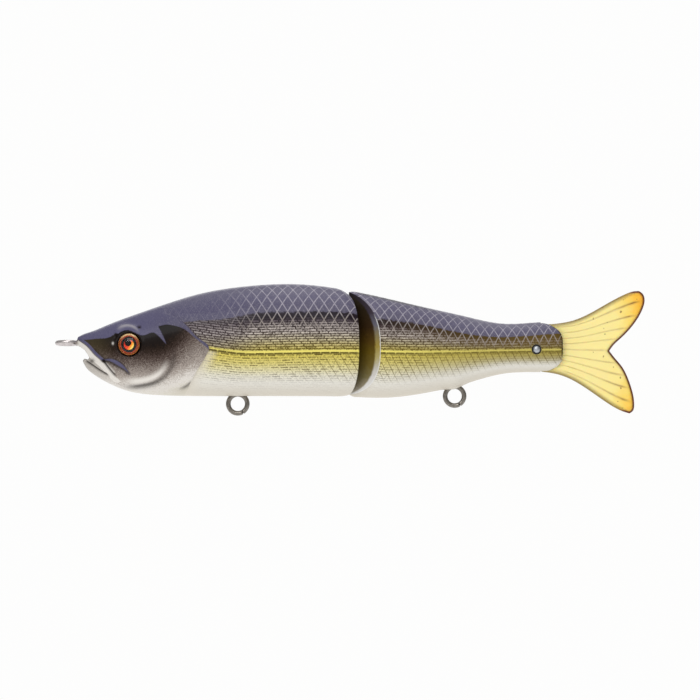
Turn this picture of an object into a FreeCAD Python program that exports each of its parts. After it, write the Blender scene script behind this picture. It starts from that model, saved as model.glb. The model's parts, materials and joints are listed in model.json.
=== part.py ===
import FreeCAD, Part
import os
import re
from math import atan2, cos, pi, radians, sin, sqrt, tan
import Sketcher
from FreeCAD import Placement, Rotation, Vector

# A two-piece jointed swimbait, in millimetres.  The origin is the centre of the line tie's
# outer loop, +X runs along the fish to its tail, +Y to its right side and +Z up.

document = FreeCAD.newDocument("Swimbait")
sheet = document.addObject("Spreadsheet::Sheet", "dims")

# Outline of the whole fish: each station has its place along X, the height of the back and
# of the belly there, and half of the width.
STATIONS = {
    "Nose": (3.5, 1.9, -1.2, 1.5),
    "Lip": (5.2, 2.8, -6.2, 3.6),
    "Jaw": (7.6, 3.6, -9.3, 5.3),
    "Snout": (11.8, 5.3, -12.0, 7.3),
    "Brow": (19.0, 8.1, -15.1, 9.2),
    "Cheek": (29.0, 11.6, -16.5, 10.5),
    "Gill": (42.0, 15.6, -16.8, 11.3),
    "Shoulder": (58.0, 18.1, -16.8, 11.6),
    "Crest": (74.0, 18.6, -16.8, 11.6),
    "Waist": (89.0, 16.7, -17.0, 11.4),
    "Rump": (101.0, 14.2, -17.3, 10.9),
    "Hip": (113.0, 11.4, -15.9, 9.6),
    "Flank": (126.0, 8.5, -12.9, 7.6),
    "Peduncle": (139.0, 6.1, -9.6, 5.7),
    "TailRoot": (150.0, 6.6, -9.2, 4.7),
    "TailEnd": (159.0, 6.3, -8.9, 3.9),
}

DIMENSIONS = {
    # hollow moulded shells
    "SectionFullness": 2.6,  # exponent of the cross-section's height: 2 is a plain ellipse
    "WallThickness": 2.0,
    "FrontCavityStart": 17.0,
    "FrontCavityEnd": 82.0,
    "RearCavityStart": 101.0,
    "RearCavityEnd": 141.0,
    "PostRadius": 1.6,
    "HookBlockHalf": 4.5,  # along the fish, each side of the hook eye
    "WireBlockHalf": 3.0,  # across the fish, each side of a wire that the shells hold
    "FitGap": 0.08,  # all round each insert that the two shells hold
    "PressGap": 0.02,
    # wire eyes
    "WireRadius": 0.75,
    "StemRadius": 0.95,  # the wire's two ends, twisted together
    "RingRadius": 3.0,  # to the middle of the wire
    "RingHoleRadius": 2.3,
    "AnchorRadius": 2.0,
    "RingSeam": 9.0,  # degrees left open where the wire's end meets the ring
    "RingSeamLean": 60.0,  # of that opening, below level on the tail side
    "TieStem": 5.5,
    "HookStem": 1.5,
    "FrontHookX": 54.1,
    "FrontHookZ": -19.25,
    "RearHookX": 122.8,
    "RearHookZ": -16.8,
    # hinge between the two sections
    "HingeX": 92.0,
    "HingeUpperZ": 8.2,
    "HingeLowerZ": -9.0,
    "HingePinRadius": 0.75,
    "HingePinLength": 26.0,
    "HingeBoreRadius": 0.81,
    "HingeRingRadius": 2.2,
    "HingeRingHeight": 1.7,
    "HingeShankRadius": 0.7,
    "HingeShankLength": 11.0,
    "HingeBarLength": 5.0,
    "HingeSlotRadius": 3.3,
    "HingeSlotHeight": 2.6,
    "NotchX": 88.7,  # bottom of the front section's V
    "NotchAngle": 20.4,  # of each side of that V, from square
    "NoseRadius": 2.7,  # rounded point of the rear section, about the hinge
    "NoseAngle": 46.3,  # of each side of the rear section's V, from square
    "MidHeight": -0.4,
    # eyes
    "EyeX": 19.8,
    "EyeZ": -0.45,
    "EyeRadius": 3.5,
    "EyeDepth": 7.8,  # from the middle plane to the bottom of the socket
    "EyeTilt": 10.0,
    "FoilThickness": 0.4,
    "LensRim": 0.5,
    "LensRise": 1.1,
    # ballast
    "FrontBallastRadius": 4.5,
    "FrontBallastLength": 14.0,
    "ForeBallastX": 38.0,
    "AftBallastX": 70.0,
    "FrontBallastZ": -9.2,
    "RearBallastRadius": 3.8,
    "RearBallastLength": 11.0,
    "RearBallastX": 109.5,
    "RearBallastZ": -10.0,
    "BallastCollar": 1.4,
    # tail
    "TailPinX": 148.6,
    "TailPinZ": -2.0,
    "TailPinRadius": 0.8,
    "TailPinHeadRadius": 1.25,
    "TailPinHeadBase": 3.9,  # from the middle plane to the underside of the head
    "TailPinHeadRim": 0.5,
    "TailPinHeadRise": 0.6,
    "TailPinGap": 0.06,
    "TailPinRecessGap": 0.25,
    "TailSlotStart": 150.0,
    "TailSlotHalf": 1.5,
    "TenonStart": 144.5,
    "TenonHalf": 1.2,
    "TenonTop": 2.4,
    "TenonBottom": -6.2,
    "TenonGap": 0.1,
    "ShellEndX": 157.0,
    "ShellEndZ": -1.4,
    "ShellEndRadius": 7.7,
    "FinRootHalf": 1.4,
    "FinTipHalf": 0.6,
    "FinTipX": 180.0,
}

# The open mouth between the upper lip and the lower jaw, as (along, height) in the side view.
MOUTH = {
    "upper lip": (3.0, -0.9),
    "lip fold": (5.9, -2.2),
    "palate": (7.0, -4.0),
    "tongue": (6.8, -5.3),
    "jaw tip": (5.6, -5.0),
    "chin": (5.1, -5.7),
}

# The tail's outline in the side view, from one of its corners to the next.
FIN_TIPS = {"upper": (183.0, 14.4), "fork": (171.9, -2.7), "lower": (179.6, -20.3)}
FIN_ROOT_TOP = 5.9
FIN_ROOT_BOTTOM = -8.9
FIN_BACK = [(155.3, 6.1), (164.7, 9.0), (174.3, 14.4), (180.8, 16.4)]
FIN_UPPER_EDGE = [(181.6, 8.6), (176.6, 2.4)]
FIN_LOWER_EDGE = [(175.7, -7.4), (178.9, -15.0)]
FIN_BELLY = [(177.0, -22.1), (169.5, -17.9), (162.4, -12.9), (155.6, -9.9)]

# Each ballast: where it sits along X and in height, its radius and its length.
BALLASTS = {
    "fore": ("ForeBallastX", "FrontBallastZ", "FrontBallastRadius", "FrontBallastLength"),
    "aft": ("AftBallastX", "FrontBallastZ", "FrontBallastRadius", "FrontBallastLength"),
    "rear": ("RearBallastX", "RearBallastZ", "RearBallastRadius", "RearBallastLength"),
}

HINGE_EYES = {"upper": "HingeUpperZ", "lower": "HingeLowerZ"}

ROOM = 60.0  # half the size of a block that takes in the whole fish's section


def fill_sheet():
    """Write each dimension in its own row, named by its alias."""
    cells = []
    for name, values in STATIONS.items():
        cells += [(name + part, value) for part, value in zip(("X", "Back", "Belly", "Half"), values)]
    cells += list(DIMENSIONS.items())
    for row, (alias, value) in enumerate(cells, start=1):
        sheet.set("A%d" % row, alias)
        sheet.set("B%d" % row, str(value))
        sheet.setAlias("B%d" % row, alias)
    document.recompute()


def cell(alias):
    """The number in the cell that has this alias."""
    return float(getattr(sheet, alias))


def bound(words):
    """An expression over the sheet, from words that name its aliases."""
    return re.sub(r"\b([A-Z][A-Za-z]+)\b", r"dims.\1", str(words))


def shape_of(item, shape):
    """A Part::Feature that holds a shape made here."""
    feature = document.addObject("Part::Feature", item)
    feature.Shape = shape
    return feature


ALONG = {
    "X": Rotation(Vector(0, 0, 1), Vector(1, 0, 0)),
    "Y": Rotation(Vector(0, 0, 1), Vector(0, 1, 0)),
    "Z": Rotation(),
}


def primitive(kind, name, at=(0, 0, 0), along="Z", **sizes):
    """A Part primitive with its sizes and its place bound to the sheet."""
    item = document.addObject("Part::" + kind, name)
    item.Placement = Placement(Vector(), ALONG[along])
    for prop, words in sizes.items():
        item.setExpression(prop, bound(words))
    for letter, words in zip("xyz", at):
        item.setExpression("Placement.Base." + letter, bound(words))
    return item


def block(name, low, high):
    """A box between two corners, each given in words over the sheet."""
    sizes = {
        side: "(%s) - (%s)" % (top, bottom)
        for side, bottom, top in zip(("Length", "Width", "Height"), low, high)
    }
    return primitive("Box", name, low, **sizes)


def boss(name, x, z, radius, half):
    """A round boss or pocket that runs across the fish, on both sides of the middle plane."""
    return primitive("Cylinder", name, (x, "-(%s)" % half, z), "Y", Radius=radius, Height="2 * (%s)" % half)


def cut(name, base, tool):
    item = document.addObject("Part::Cut", name)
    item.Base = base
    item.Tool = tool
    return item


def fuse(name, *items):
    item = document.addObject("Part::MultiFuse", name)
    item.Shapes = list(items)
    return item


def common(name, *items):
    item = document.addObject("Part::MultiCommon", name)
    item.Shapes = list(items)
    return item


def mirrored(name, source):
    """The same piece on the other side of the middle plane."""
    item = document.addObject("Part::Mirroring", name)
    item.Source = source
    item.Normal = Vector(0, 1, 0)
    return item


# ---------------------------------------------------------------- the body's outer form


def section(station, inset):
    """The body's closed cross-section at a station, drawn in by inset all round."""
    x = cell(station + "X")
    top = cell(station + "Back") - inset
    bottom = cell(station + "Belly") + inset
    half = cell(station + "Half") - inset
    middle = (top + bottom) / 2
    reach = (top - bottom) / 2
    steps = 10
    heights = [cos(pi * step / steps) for step in range(steps + 1)]
    left = [
        Vector(x, -half * sqrt(max(0.0, 1 - abs(c) ** cell("SectionFullness"))), middle + reach * c)
        for c in heights
    ]
    edges = []
    for side in (1, -1):
        curve = Part.BSplineCurve()
        points = [Vector(p.x, p.y * side, p.z) for p in left]
        curve.interpolate(
            Points=points, InitialTangent=Vector(0, -side, 0), FinalTangent=Vector(0, side, 0)
        )
        edges.append(curve.toShape())
    return Part.Wire([edges[0], edges[1]])


def body_form(name, stations, inset):
    """A smooth solid through the sections at these stations."""
    return shape_of(name, Part.makeLoft([section(s, inset) for s in stations], True, False))


def plan_prism(name, edges):
    """A block whose outline seen from above is given, as tall as the fish."""
    face = Part.Face(Part.Wire(edges))
    face.translate(Vector(0, 0, -ROOM))
    return shape_of(name, face.extrude(Vector(0, 0, 2 * ROOM)))


def polyline(points):
    return [Part.LineSegment(a, b).toShape() for a, b in zip(points, points[1:])]


def notch_prism():
    """Everything ahead of the front section's V notch."""
    vertex = Vector(cell("NotchX"), 0, 0)
    half = ROOM / 2
    wing = vertex.x + half * tan(radians(cell("NotchAngle")))
    right = [Vector(wing, half, 0), Vector(-ROOM, half, 0)]
    left = [Vector(-ROOM, -half, 0), Vector(wing, -half, 0)]
    return plan_prism("notch_side", polyline([vertex] + right + left + [vertex]))


def wedge_prism():
    """Everything behind the rear section's rounded V nose."""
    hinge = Vector(cell("HingeX"), 0, 0)
    radius = cell("NoseRadius")
    angle = radians(cell("NoseAngle"))
    touch = hinge + Vector(-cos(angle), sin(angle), 0) * radius
    wing = touch + Vector(sin(angle), cos(angle), 0) * ROOM
    apex = hinge - Vector(radius, 0, 0)
    back = Vector(4 * ROOM, wing.y, 0)
    lower = [Vector(p.x, -p.y, 0) for p in (touch, wing, back)]
    nose = Part.Arc(lower[0], apex, touch).toShape()
    outline = [touch, wing, back, lower[2], lower[1], lower[0]]
    return plan_prism("wedge_side", [nose] + polyline(outline))


def shell_end_prism():
    """Everything ahead of the rear section's rounded end, seen from the side."""
    radius = cell("ShellEndRadius")
    centre = Vector(cell("ShellEndX") - radius, -ROOM, cell("ShellEndZ"))
    disc = Part.makeCylinder(radius, 2 * ROOM, centre, Vector(0, 1, 0))
    ahead = Part.makeBox(centre.x, 2 * ROOM, 2 * ROOM, Vector(0, -ROOM, -ROOM))
    return shape_of("end_side", ahead.fuse(disc))


def mouth_prism():
    """The open mouth, as a block that runs right across the head and out ahead of it."""
    above, below = Vector(-ROOM, -ROOM, 1), Vector(-ROOM, -ROOM, -9)
    outline = [above] + [Vector(x, -ROOM, z) for x, z in MOUTH.values()] + [below, above]
    face = Part.Face(Part.Wire(polyline(outline)))
    return shape_of("mouth", face.extrude(Vector(0, 2 * ROOM, 0)))


# ---------------------------------------------------------------- wire eyes


def ring(name, x, z, along, grow):
    """A wire ring whose hole has a short straight wall."""
    hoop = primitive(
        "Torus", name + "_hoop", (x, 0, z), along, Radius1="RingRadius", Radius2="WireRadius + %s" % grow
    )
    if grow != "0":
        return hoop
    hole = primitive(
        "Cylinder", name + "_hole", (x, 0, z), along, Radius="RingHoleRadius", Height="4 * WireRadius"
    )
    shift = {"X": "x", "Y": "y", "Z": "z"}[along]
    place = dict(zip("xyz", (x, 0, z)))
    hole.setExpression("Placement.Base." + shift, bound("(%s) - 2 * WireRadius" % place[shift]))
    return cut(name + "_ring", hoop, hole)


def seamed(name, item, x, z):
    """Opens the ring by a hairline where its wire ends, low on the tail side."""
    gap = radians(cell("RingSeam"))
    reach = 2 * cell("RingRadius")
    lean = -radians(cell("RingSeamLean"))
    corners = [Vector(0, 0, 0)]
    corners += [Vector(reach * cos(lean + a), 0, reach * sin(lean + a)) for a in (-gap / 2, gap / 2)]
    face = Part.Face(Part.Wire(polyline(corners + [corners[0]])))
    face.translate(Vector(0, -cell("RingRadius"), 0))
    wedge = shape_of(name + "_seam", face.extrude(Vector(0, 2 * cell("RingRadius"), 0)))
    wedge.setExpression("Placement.Base.x", bound(x))
    wedge.setExpression("Placement.Base.z", bound(z))
    return cut(name, item, wedge)


def anchor_loop(name, x, z, grow):
    """The closed loop that the two shells hold, standing in the middle plane."""
    wire = "WireRadius + %s" % grow
    return primitive("Torus", name + "_anchor", (x, 0, z), "Y", Radius1="AnchorRadius", Radius2=wire)


def hook_eye(name, x, z, grow="0"):
    """A figure-of-eight wire eye: a ring for the hook below, a stem and an anchor loop above."""
    stem_foot = "%s + RingRadius" % z
    anchor_z = "%s + RingRadius + HookStem + AnchorRadius" % z
    outer = ring(name + "_outer", x, z, "Y", grow)
    if grow == "0":
        outer = seamed(name + "_open", outer, x, z)
    stem = primitive(
        "Cylinder", name + "_stem", (x, 0, stem_foot), Radius="StemRadius + %s" % grow, Height="HookStem"
    )
    anchor = anchor_loop(name, x, anchor_z, grow)
    return fuse(name, outer, stem, anchor)


def line_tie(name, grow="0"):
    """The same wire eye with a quarter turn: its ring lies flat, its anchor loop stands up."""
    outer = ring(name + "_outer", "0", "0", "Z", grow)
    radius = "StemRadius + %s" % grow
    stem = primitive("Cylinder", name + "_stem", ("RingRadius", 0, 0), "X", Radius=radius, Height="TieStem")
    anchor = anchor_loop(name, "RingRadius + TieStem + AnchorRadius", "0", grow)
    return fuse(name, outer, stem, anchor)


def hinge_eye(name, z, grow="0"):
    """A flat eye on the hinge pin, with a shank and a crossbar that the front section holds."""
    half = "HingeRingHeight / 2 + %s" % grow
    disc = primitive(
        "Cylinder",
        name + "_disc",
        ("HingeX", 0, "%s - (%s)" % (z, half)),
        Radius="HingeRingRadius + %s" % grow,
        Height="2 * (%s)" % half,
    )
    shank_end = "HingeX - HingeShankLength"
    bar_foot = "%s - HingeBarLength / 2 - %s" % (z, grow)
    wire = "HingeShankRadius + %s" % grow
    shank = primitive(
        "Cylinder",
        name + "_shank",
        (shank_end, 0, z),
        "X",
        Radius=wire,
        Height="HingeShankLength - HingePinRadius",
    )
    bar = primitive(
        "Cylinder",
        name + "_bar",
        (shank_end, 0, bar_foot),
        Radius=wire,
        Height="HingeBarLength + 2 * %s" % grow,
    )
    solid = fuse(name + "_solid", disc, shank, bar)
    if grow != "0":
        return solid
    bore_foot = "%s - HingeRingHeight" % z
    bore = primitive(
        "Cylinder",
        name + "_bore",
        ("HingeX", 0, bore_foot),
        Radius="HingeBoreRadius",
        Height="2 * HingeRingHeight",
    )
    return cut(name, solid, bore)


# ---------------------------------------------------------------- turned pieces


def plane_of(body, role):
    return [plane for plane in body.Origin.OriginFeatures if plane.Role == role][0]


def turned(name, points, arcs=()):
    """A PartDesign body revolved about Z from a closed outline of (radius, height) points.

    Each stretch that is named in arcs bulges by that much, the others are straight.
    """
    body = document.addObject("PartDesign::Body", name)
    sketch = body.newObject("Sketcher::SketchObject", name + "_outline")
    sketch.AttachmentSupport = [(plane_of(body, "XZ_Plane"), "")]
    sketch.MapMode = "FlatFace"
    corners = [Vector(r, height, 0) for r, height in points]
    bulges = dict(arcs)
    for place, (a, b) in enumerate(zip(corners, corners[1:] + corners[:1])):
        if place in bulges:
            across = (b - a).normalize()
            middle = (a + b) * 0.5 + Vector(across.y, -across.x, 0) * bulges[place]
            sketch.addGeometry(Part.Arc(a, middle, b), False)
        else:
            sketch.addGeometry(Part.LineSegment(a, b), False)
    count = len(corners)
    for place in range(count):
        after = (place + 1) % count
        ends = [2, 1]
        for slot, (edge, near) in enumerate(((place, corners[after]), (after, corners[after]))):
            if (sketch.getPoint(edge, ends[slot]) - near).Length > 1e-6:
                ends[slot] = 3 - ends[slot]
        sketch.addConstraint(Sketcher.Constraint("Coincident", place, ends[0], after, ends[1]))
    revolve = body.newObject("PartDesign::Revolution", name + "_turn")
    revolve.Profile = sketch
    revolve.ReferenceAxis = (sketch, ["V_Axis"])
    revolve.Angle = 360
    body.Tip = revolve
    return body


def eye_place(side, height):
    """The place of an eye's disc: side is -1 on the left, and height is above the socket's floor."""
    tilt = radians(cell("EyeTilt"))
    outward = Vector(-sin(tilt), side * cos(tilt), 0)
    floor = Vector(cell("EyeX"), side * cell("EyeDepth"), cell("EyeZ"))
    return Placement(floor + outward * height, Rotation(Vector(0, 0, 1), outward))


def eye_foil(name, side):
    radius = cell("EyeRadius") - cell("FitGap")
    thick = cell("FoilThickness")
    foil = turned(name, [(0, 0), (radius, 0), (radius, thick), (0, thick)])
    foil.Placement = eye_place(side, cell("FitGap"))
    return foil


def dome_bulge(radius, rise):
    """How far a dome's arc stands out from the straight line between its rim and its top."""
    ball = (radius ** 2 + rise ** 2) / (2 * rise)
    half_turn = atan2(radius, ball - rise) / 2
    return ball * (1 - cos(half_turn))


def eye_lens(name, side):
    radius = cell("EyeRadius") - cell("FitGap")
    rim = cell("LensRim")
    rise = cell("LensRise")
    outline = [(0, 0), (radius, 0), (radius, rim), (0, rim + rise)]
    lens = turned(name, outline, [(2, dome_bulge(radius, rise))])
    lens.Placement = eye_place(side, 2 * cell("FitGap") + cell("FoilThickness"))
    return lens


def eye_socket(name):
    """What the left eye's socket takes out of the head."""
    place = eye_place(-1, 0)
    socket = shape_of(name, Part.makeCylinder(cell("EyeRadius"), 6.0))
    socket.Placement = place
    return socket


def pin_place(side):
    return Placement(
        Vector(cell("TailPinX"), 0, cell("TailPinZ")), Rotation(Vector(0, 0, 1), Vector(0, side, 0))
    )


def domed_head(radius, base, rim, rise):
    """The outline of a low domed head, from its underside to its middle."""
    return [(radius, base), (radius, base + rim), (0, base + rim + rise)]


def tail_pin(name):
    """The pin through the tail's tenon, with a domed head on the left side."""
    shaft = cell("TailPinRadius")
    head, rim, rise = cell("TailPinHeadRadius"), cell("TailPinHeadRim"), cell("TailPinHeadRise")
    base = cell("TailPinHeadBase")
    foot = -base - rim
    outline = [(0, foot), (shaft, foot), (shaft, base)] + domed_head(head, base, rim, rise)
    pin = turned(name, outline, [(4, dome_bulge(head, rise))])
    pin.Placement = pin_place(-1)
    return pin


def tail_pin_cap(name):
    """The button that closes the pin's far end on the right side."""
    bore = cell("TailPinRadius") + cell("PressGap")
    head, rim, rise = cell("TailPinHeadRadius"), cell("TailPinHeadRim"), cell("TailPinHeadRise")
    base = cell("TailPinHeadBase")
    depth = base + rim + cell("PressGap")
    outline = [(0, depth), (bore, depth), (bore, base)] + domed_head(head, base, rim, rise)
    cap = turned(name, outline, [(4, dome_bulge(head, rise))])
    cap.Placement = pin_place(1)
    return cap


# ---------------------------------------------------------------- the soft tail


def spline(points):
    curve = Part.BSplineCurve()
    curve.interpolate([Vector(x, 0, z) for x, z in points])
    return curve.toShape()


def tail_fin(name):
    """The forked soft tail: a plate that thins towards its tips, and a tenon in the rear section."""
    root_x = cell("TailSlotStart") + cell("FitGap")
    root_top, root_foot = (root_x, FIN_ROOT_TOP), (root_x, FIN_ROOT_BOTTOM)
    top = spline([root_top] + FIN_BACK + [FIN_TIPS["upper"]])
    upper = spline([FIN_TIPS["upper"]] + FIN_UPPER_EDGE + [FIN_TIPS["fork"]])
    lower = spline([FIN_TIPS["fork"]] + FIN_LOWER_EDGE + [FIN_TIPS["lower"]])
    belly = spline([FIN_TIPS["lower"]] + FIN_BELLY + [root_foot])
    root = spline([root_foot, root_top])
    face = Part.Face(Part.Wire([top, upper, lower, belly, root]))
    face.translate(Vector(0, -ROOM, 0))
    plate = face.extrude(Vector(0, 2 * ROOM, 0))
    root_half, tip_half = cell("FinRootHalf"), cell("FinTipHalf")
    end_x, tip_x = cell("ShellEndX"), cell("FinTipX")
    right = [(0, root_half), (end_x, root_half), (tip_x, tip_half), (4 * ROOM, tip_half)]
    left = [(x, -half) for x, half in right[::-1]]
    corners = [Vector(x, y, 0) for x, y in right + left]
    taper = plan_prism(name + "_taper", polyline(corners + [corners[0]]))
    blade = shape_of(name + "_blade", plate.common(taper.Shape))
    tenon = block(
        name + "_tenon",
        ("TenonStart", "-TenonHalf", "TenonBottom"),
        ("TailSlotStart + 1", "TenonHalf", "TenonTop"),
    )
    hole = boss(name + "_hole", "TailPinX", "TailPinZ", "TailPinRadius + TenonGap", "2 * TailSlotHalf")
    return cut(name, fuse(name + "_whole", blade, tenon), hole)


# ---------------------------------------------------------------- the four shells


def ballast(which):
    x, z, radius, length = BALLASTS[which]
    return boss("ballast_" + which, x, z, radius, "%s / 2" % length)


def ballast_seat(which):
    x, z, radius, length = BALLASTS[which]
    return boss("ballast_seat_" + which, x, z, "%s + FitGap" % radius, "%s / 2 + FitGap" % length)


def ballast_collar(which):
    """The wall round a ballast, from one side of the shell to the other."""
    x, z, radius, _ = BALLASTS[which]
    return boss("ballast_collar_" + which, x, z, "%s + BallastCollar" % radius, "ShoulderHalf")


def hook_block(name, x, z, foot):
    """The solid part of a shell round a hook eye's stem and anchor loop."""
    top = "%s + RingRadius + HookStem + 2 * AnchorRadius + WallThickness" % z
    return block(
        name,
        ("%s - HookBlockHalf" % x, "-WireBlockHalf", foot),
        ("%s + HookBlockHalf" % x, "WireBlockHalf", top),
    )


def chamber(name, hollow, start, end):
    """The part of the hollow form between two places along the fish."""
    limits = block(name + "_limits", (start, -ROOM, -ROOM), (end, ROOM, ROOM))
    return common(name, hollow, limits)


def eye_block():
    """The solid part of the head behind the eyes."""
    return block(
        "eye_block",
        ("FrontCavityStart", "-EyeDepth - EyeRadius", "EyeZ - 1.5 * EyeRadius"),
        ("EyeX + 1.5 * EyeRadius", "EyeDepth + EyeRadius", "EyeZ + 1.5 * EyeRadius"),
    )


def anchor_block(level, z):
    """The solid part of the front section round a hinge eye's crossbar."""
    reach = "HingeBarLength / 2 + WallThickness"
    return block(
        "anchor_block_" + level,
        ("HingeX - HingeShankLength - WireBlockHalf", "-WireBlockHalf", "%s - %s" % (z, reach)),
        ("FrontCavityEnd + 1", "WireBlockHalf", "%s + %s" % (z, reach)),
    )


def front_shell(name, form, hollow, left_side):
    """The left half of the head and shoulders, hollow, with seats for all that it holds."""
    posts = (("GillX", "9"), ("ShoulderX + 3", "12"), ("CrestX + 2", "12"))
    walls = fuse(
        "front_bosses",
        ballast_collar("fore"),
        ballast_collar("aft"),
        hook_block("front_hook_block", "FrontHookX", "FrontHookZ", "ShoulderBelly"),
        eye_block(),
        *[
            boss("front_post_%d" % place, x, z, "PostRadius", "ShoulderHalf")
            for place, (x, z) in enumerate(posts)
        ],
        *[anchor_block(level, z) for level, z in HINGE_EYES.items()]
    )
    room = chamber("front_chamber", hollow, "FrontCavityStart", "FrontCavityEnd")
    outside = common("front_form", form, notch_prism())
    skin = cut("front_skin", outside, cut("front_room", room, walls))
    seats = fuse(
        "front_seats",
        line_tie("tie_seat", "FitGap"),
        hook_eye("front_hook_seat", "FrontHookX", "FrontHookZ", "FitGap"),
        *[hinge_eye("%s_hinge_seat" % level, z, "FitGap") for level, z in HINGE_EYES.items()],
        ballast_seat("fore"),
        ballast_seat("aft"),
        eye_socket("eye_seat"),
        mouth_prism()
    )
    return common(name, cut("front_whole", skin, seats), left_side)


def hinge_slot(level, z):
    """The flat round slot that a hinge eye swings in."""
    return primitive(
        "Cylinder",
        "hinge_slot_" + level,
        ("HingeX", 0, "%s - HingeSlotHeight / 2" % z),
        Radius="HingeSlotRadius",
        Height="HingeSlotHeight",
    )


def tail_pin_recess(side, start):
    """The round recess that a head of the tail pin sits in."""
    return primitive(
        "Cylinder",
        "tail_pin_recess_" + side,
        ("TailPinX", start, "TailPinZ"),
        "Y",
        Radius="TailPinHeadRadius + TailPinRecessGap",
        Height="TailPinHeadBase",
    )


def rear_shell(name, form, hollow, left_side):
    """The left half of the rear section: hinge slots, the pin's channel and the tail's slot."""
    walls = fuse(
        "rear_bosses",
        ballast_collar("rear"),
        hook_block("rear_hook_block", "RearHookX", "RearHookZ", "RumpBelly"),
        boss("rear_post_fore", "HipX - 4", "5", "PostRadius", "RumpHalf"),
        boss("rear_post_aft", "FlankX + 5", "2", "PostRadius", "RumpHalf"),
    )
    room = chamber("rear_chamber", hollow, "RearCavityStart", "RearCavityEnd")
    outside = common("rear_form", form, wedge_prism(), shell_end_prism())
    skin = cut("rear_skin", outside, cut("rear_room", room, walls))
    tail_slot = block(
        "tail_slot",
        ("TailSlotStart", "-TailSlotHalf", -ROOM),
        ("ShellEndX + 5", "TailSlotHalf", ROOM),
    )
    tenon_pocket = block(
        "tenon_pocket",
        ("TenonStart - TenonGap", "-TenonHalf - TenonGap", "TenonBottom - TenonGap"),
        ("TailSlotStart + 1", "TenonHalf + TenonGap", "TenonTop + TenonGap"),
    )
    seats = fuse(
        "rear_seats",
        hinge_pin("hinge_pin_seat", "PressGap"),
        hook_eye("rear_hook_seat", "RearHookX", "RearHookZ", "FitGap"),
        ballast_seat("rear"),
        tail_slot,
        tenon_pocket,
        boss("tail_pin_bore", "TailPinX", "TailPinZ", "TailPinRadius + TailPinGap", "FlankHalf"),
        tail_pin_recess("left", "-2 * TailPinHeadBase"),
        tail_pin_recess("right", "TailPinHeadBase"),
        *[hinge_slot(level, z) for level, z in HINGE_EYES.items()]
    )
    return common(name, cut("rear_whole", skin, seats), left_side)


def hinge_pin(name, grow="0"):
    """The pin that joins the sections, held upright between the rear shells."""
    return primitive(
        "Cylinder",
        name,
        ("HingeX", 0, "MidHeight - HingePinLength / 2 - %s" % grow),
        Radius="HingePinRadius + %s" % grow,
        Height="HingePinLength + 2 * %s" % grow,
    )


# ---------------------------------------------------------------- assembly


def make_pieces():
    """Every piece of the lure, as one finished object each."""
    stations = list(STATIONS)
    form = body_form("outer_form", stations, 0.0)
    hollow = body_form("inner_form", stations[2:-2], cell("WallThickness"))
    left_side = block("left_side", (-ROOM, -ROOM, -ROOM), (4 * ROOM, 0, ROOM))
    front_left = front_shell("front_shell_left", form, hollow, left_side)
    rear_left = rear_shell("rear_shell_left", form, hollow, left_side)
    pieces = [
        front_left,
        mirrored("front_shell_right", front_left),
        rear_left,
        mirrored("rear_shell_right", rear_left),
        line_tie("line_tie"),
        hook_eye("front_hook_eye", "FrontHookX", "FrontHookZ"),
        hook_eye("rear_hook_eye", "RearHookX", "RearHookZ"),
        hinge_pin("hinge_pin"),
        tail_pin("tail_pin"),
        tail_pin_cap("tail_pin_cap"),
        tail_fin("tail_fin"),
    ]
    pieces += [hinge_eye("hinge_eye_" + level, z) for level, z in HINGE_EYES.items()]
    pieces += [ballast(which) for which in BALLASTS]
    for side_name, side in (("left", -1), ("right", 1)):
        pieces.append(eye_foil("eye_foil_" + side_name, side))
        pieces.append(eye_lens("eye_lens_" + side_name, side))
    return pieces


def check_and_write(pieces):
    """Stop if anything failed, then write one STEP file for each piece."""
    document.recompute()
    for item in document.Objects:
        if "Invalid" in item.State or "Error" in item.State:
            raise RuntimeError("%s is %s" % (item.Name, item.State))
    for piece in pieces:
        if piece.Shape.isNull() or not piece.Shape.isValid():
            raise RuntimeError("%s has no sound shape" % piece.Name)
    os.makedirs("parts", exist_ok=True)
    for piece in pieces:
        piece.Label = piece.Name
        piece.Shape.exportStep("parts/%s.step" % piece.Label)
        box = piece.Shape.BoundBox
        spans = (box.XMin, box.XMax, box.YMin, box.YMax, box.ZMin, box.ZMax)
        print(piece.Label, len(piece.Shape.Solids), "solid", *["%.2f" % value for value in spans])


fill_sheet()
check_and_write(make_pieces())
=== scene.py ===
import json
from math import cos, pi, radians, sin, sqrt, tan

import bmesh
import bpy
import numpy as np
from mathutils import Matrix, Vector


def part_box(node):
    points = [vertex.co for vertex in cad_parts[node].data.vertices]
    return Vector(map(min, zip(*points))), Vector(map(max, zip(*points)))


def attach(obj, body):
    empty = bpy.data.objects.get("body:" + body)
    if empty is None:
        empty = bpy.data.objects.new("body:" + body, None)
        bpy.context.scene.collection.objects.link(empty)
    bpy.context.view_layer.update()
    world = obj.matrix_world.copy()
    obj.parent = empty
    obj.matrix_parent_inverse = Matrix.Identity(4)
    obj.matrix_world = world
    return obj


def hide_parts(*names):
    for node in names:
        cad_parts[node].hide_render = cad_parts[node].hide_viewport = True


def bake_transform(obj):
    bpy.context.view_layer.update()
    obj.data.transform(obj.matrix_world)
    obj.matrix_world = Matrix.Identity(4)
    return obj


# A jointed swimbait.  Lengths here are millimetres in the frame of the CAD model, and
# turn into metres where a mesh is made.  Outlines and painted edges are drawn in the
# side view, as (along, height) points, and hold for both sides of the fish.

MM = 0.001

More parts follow.
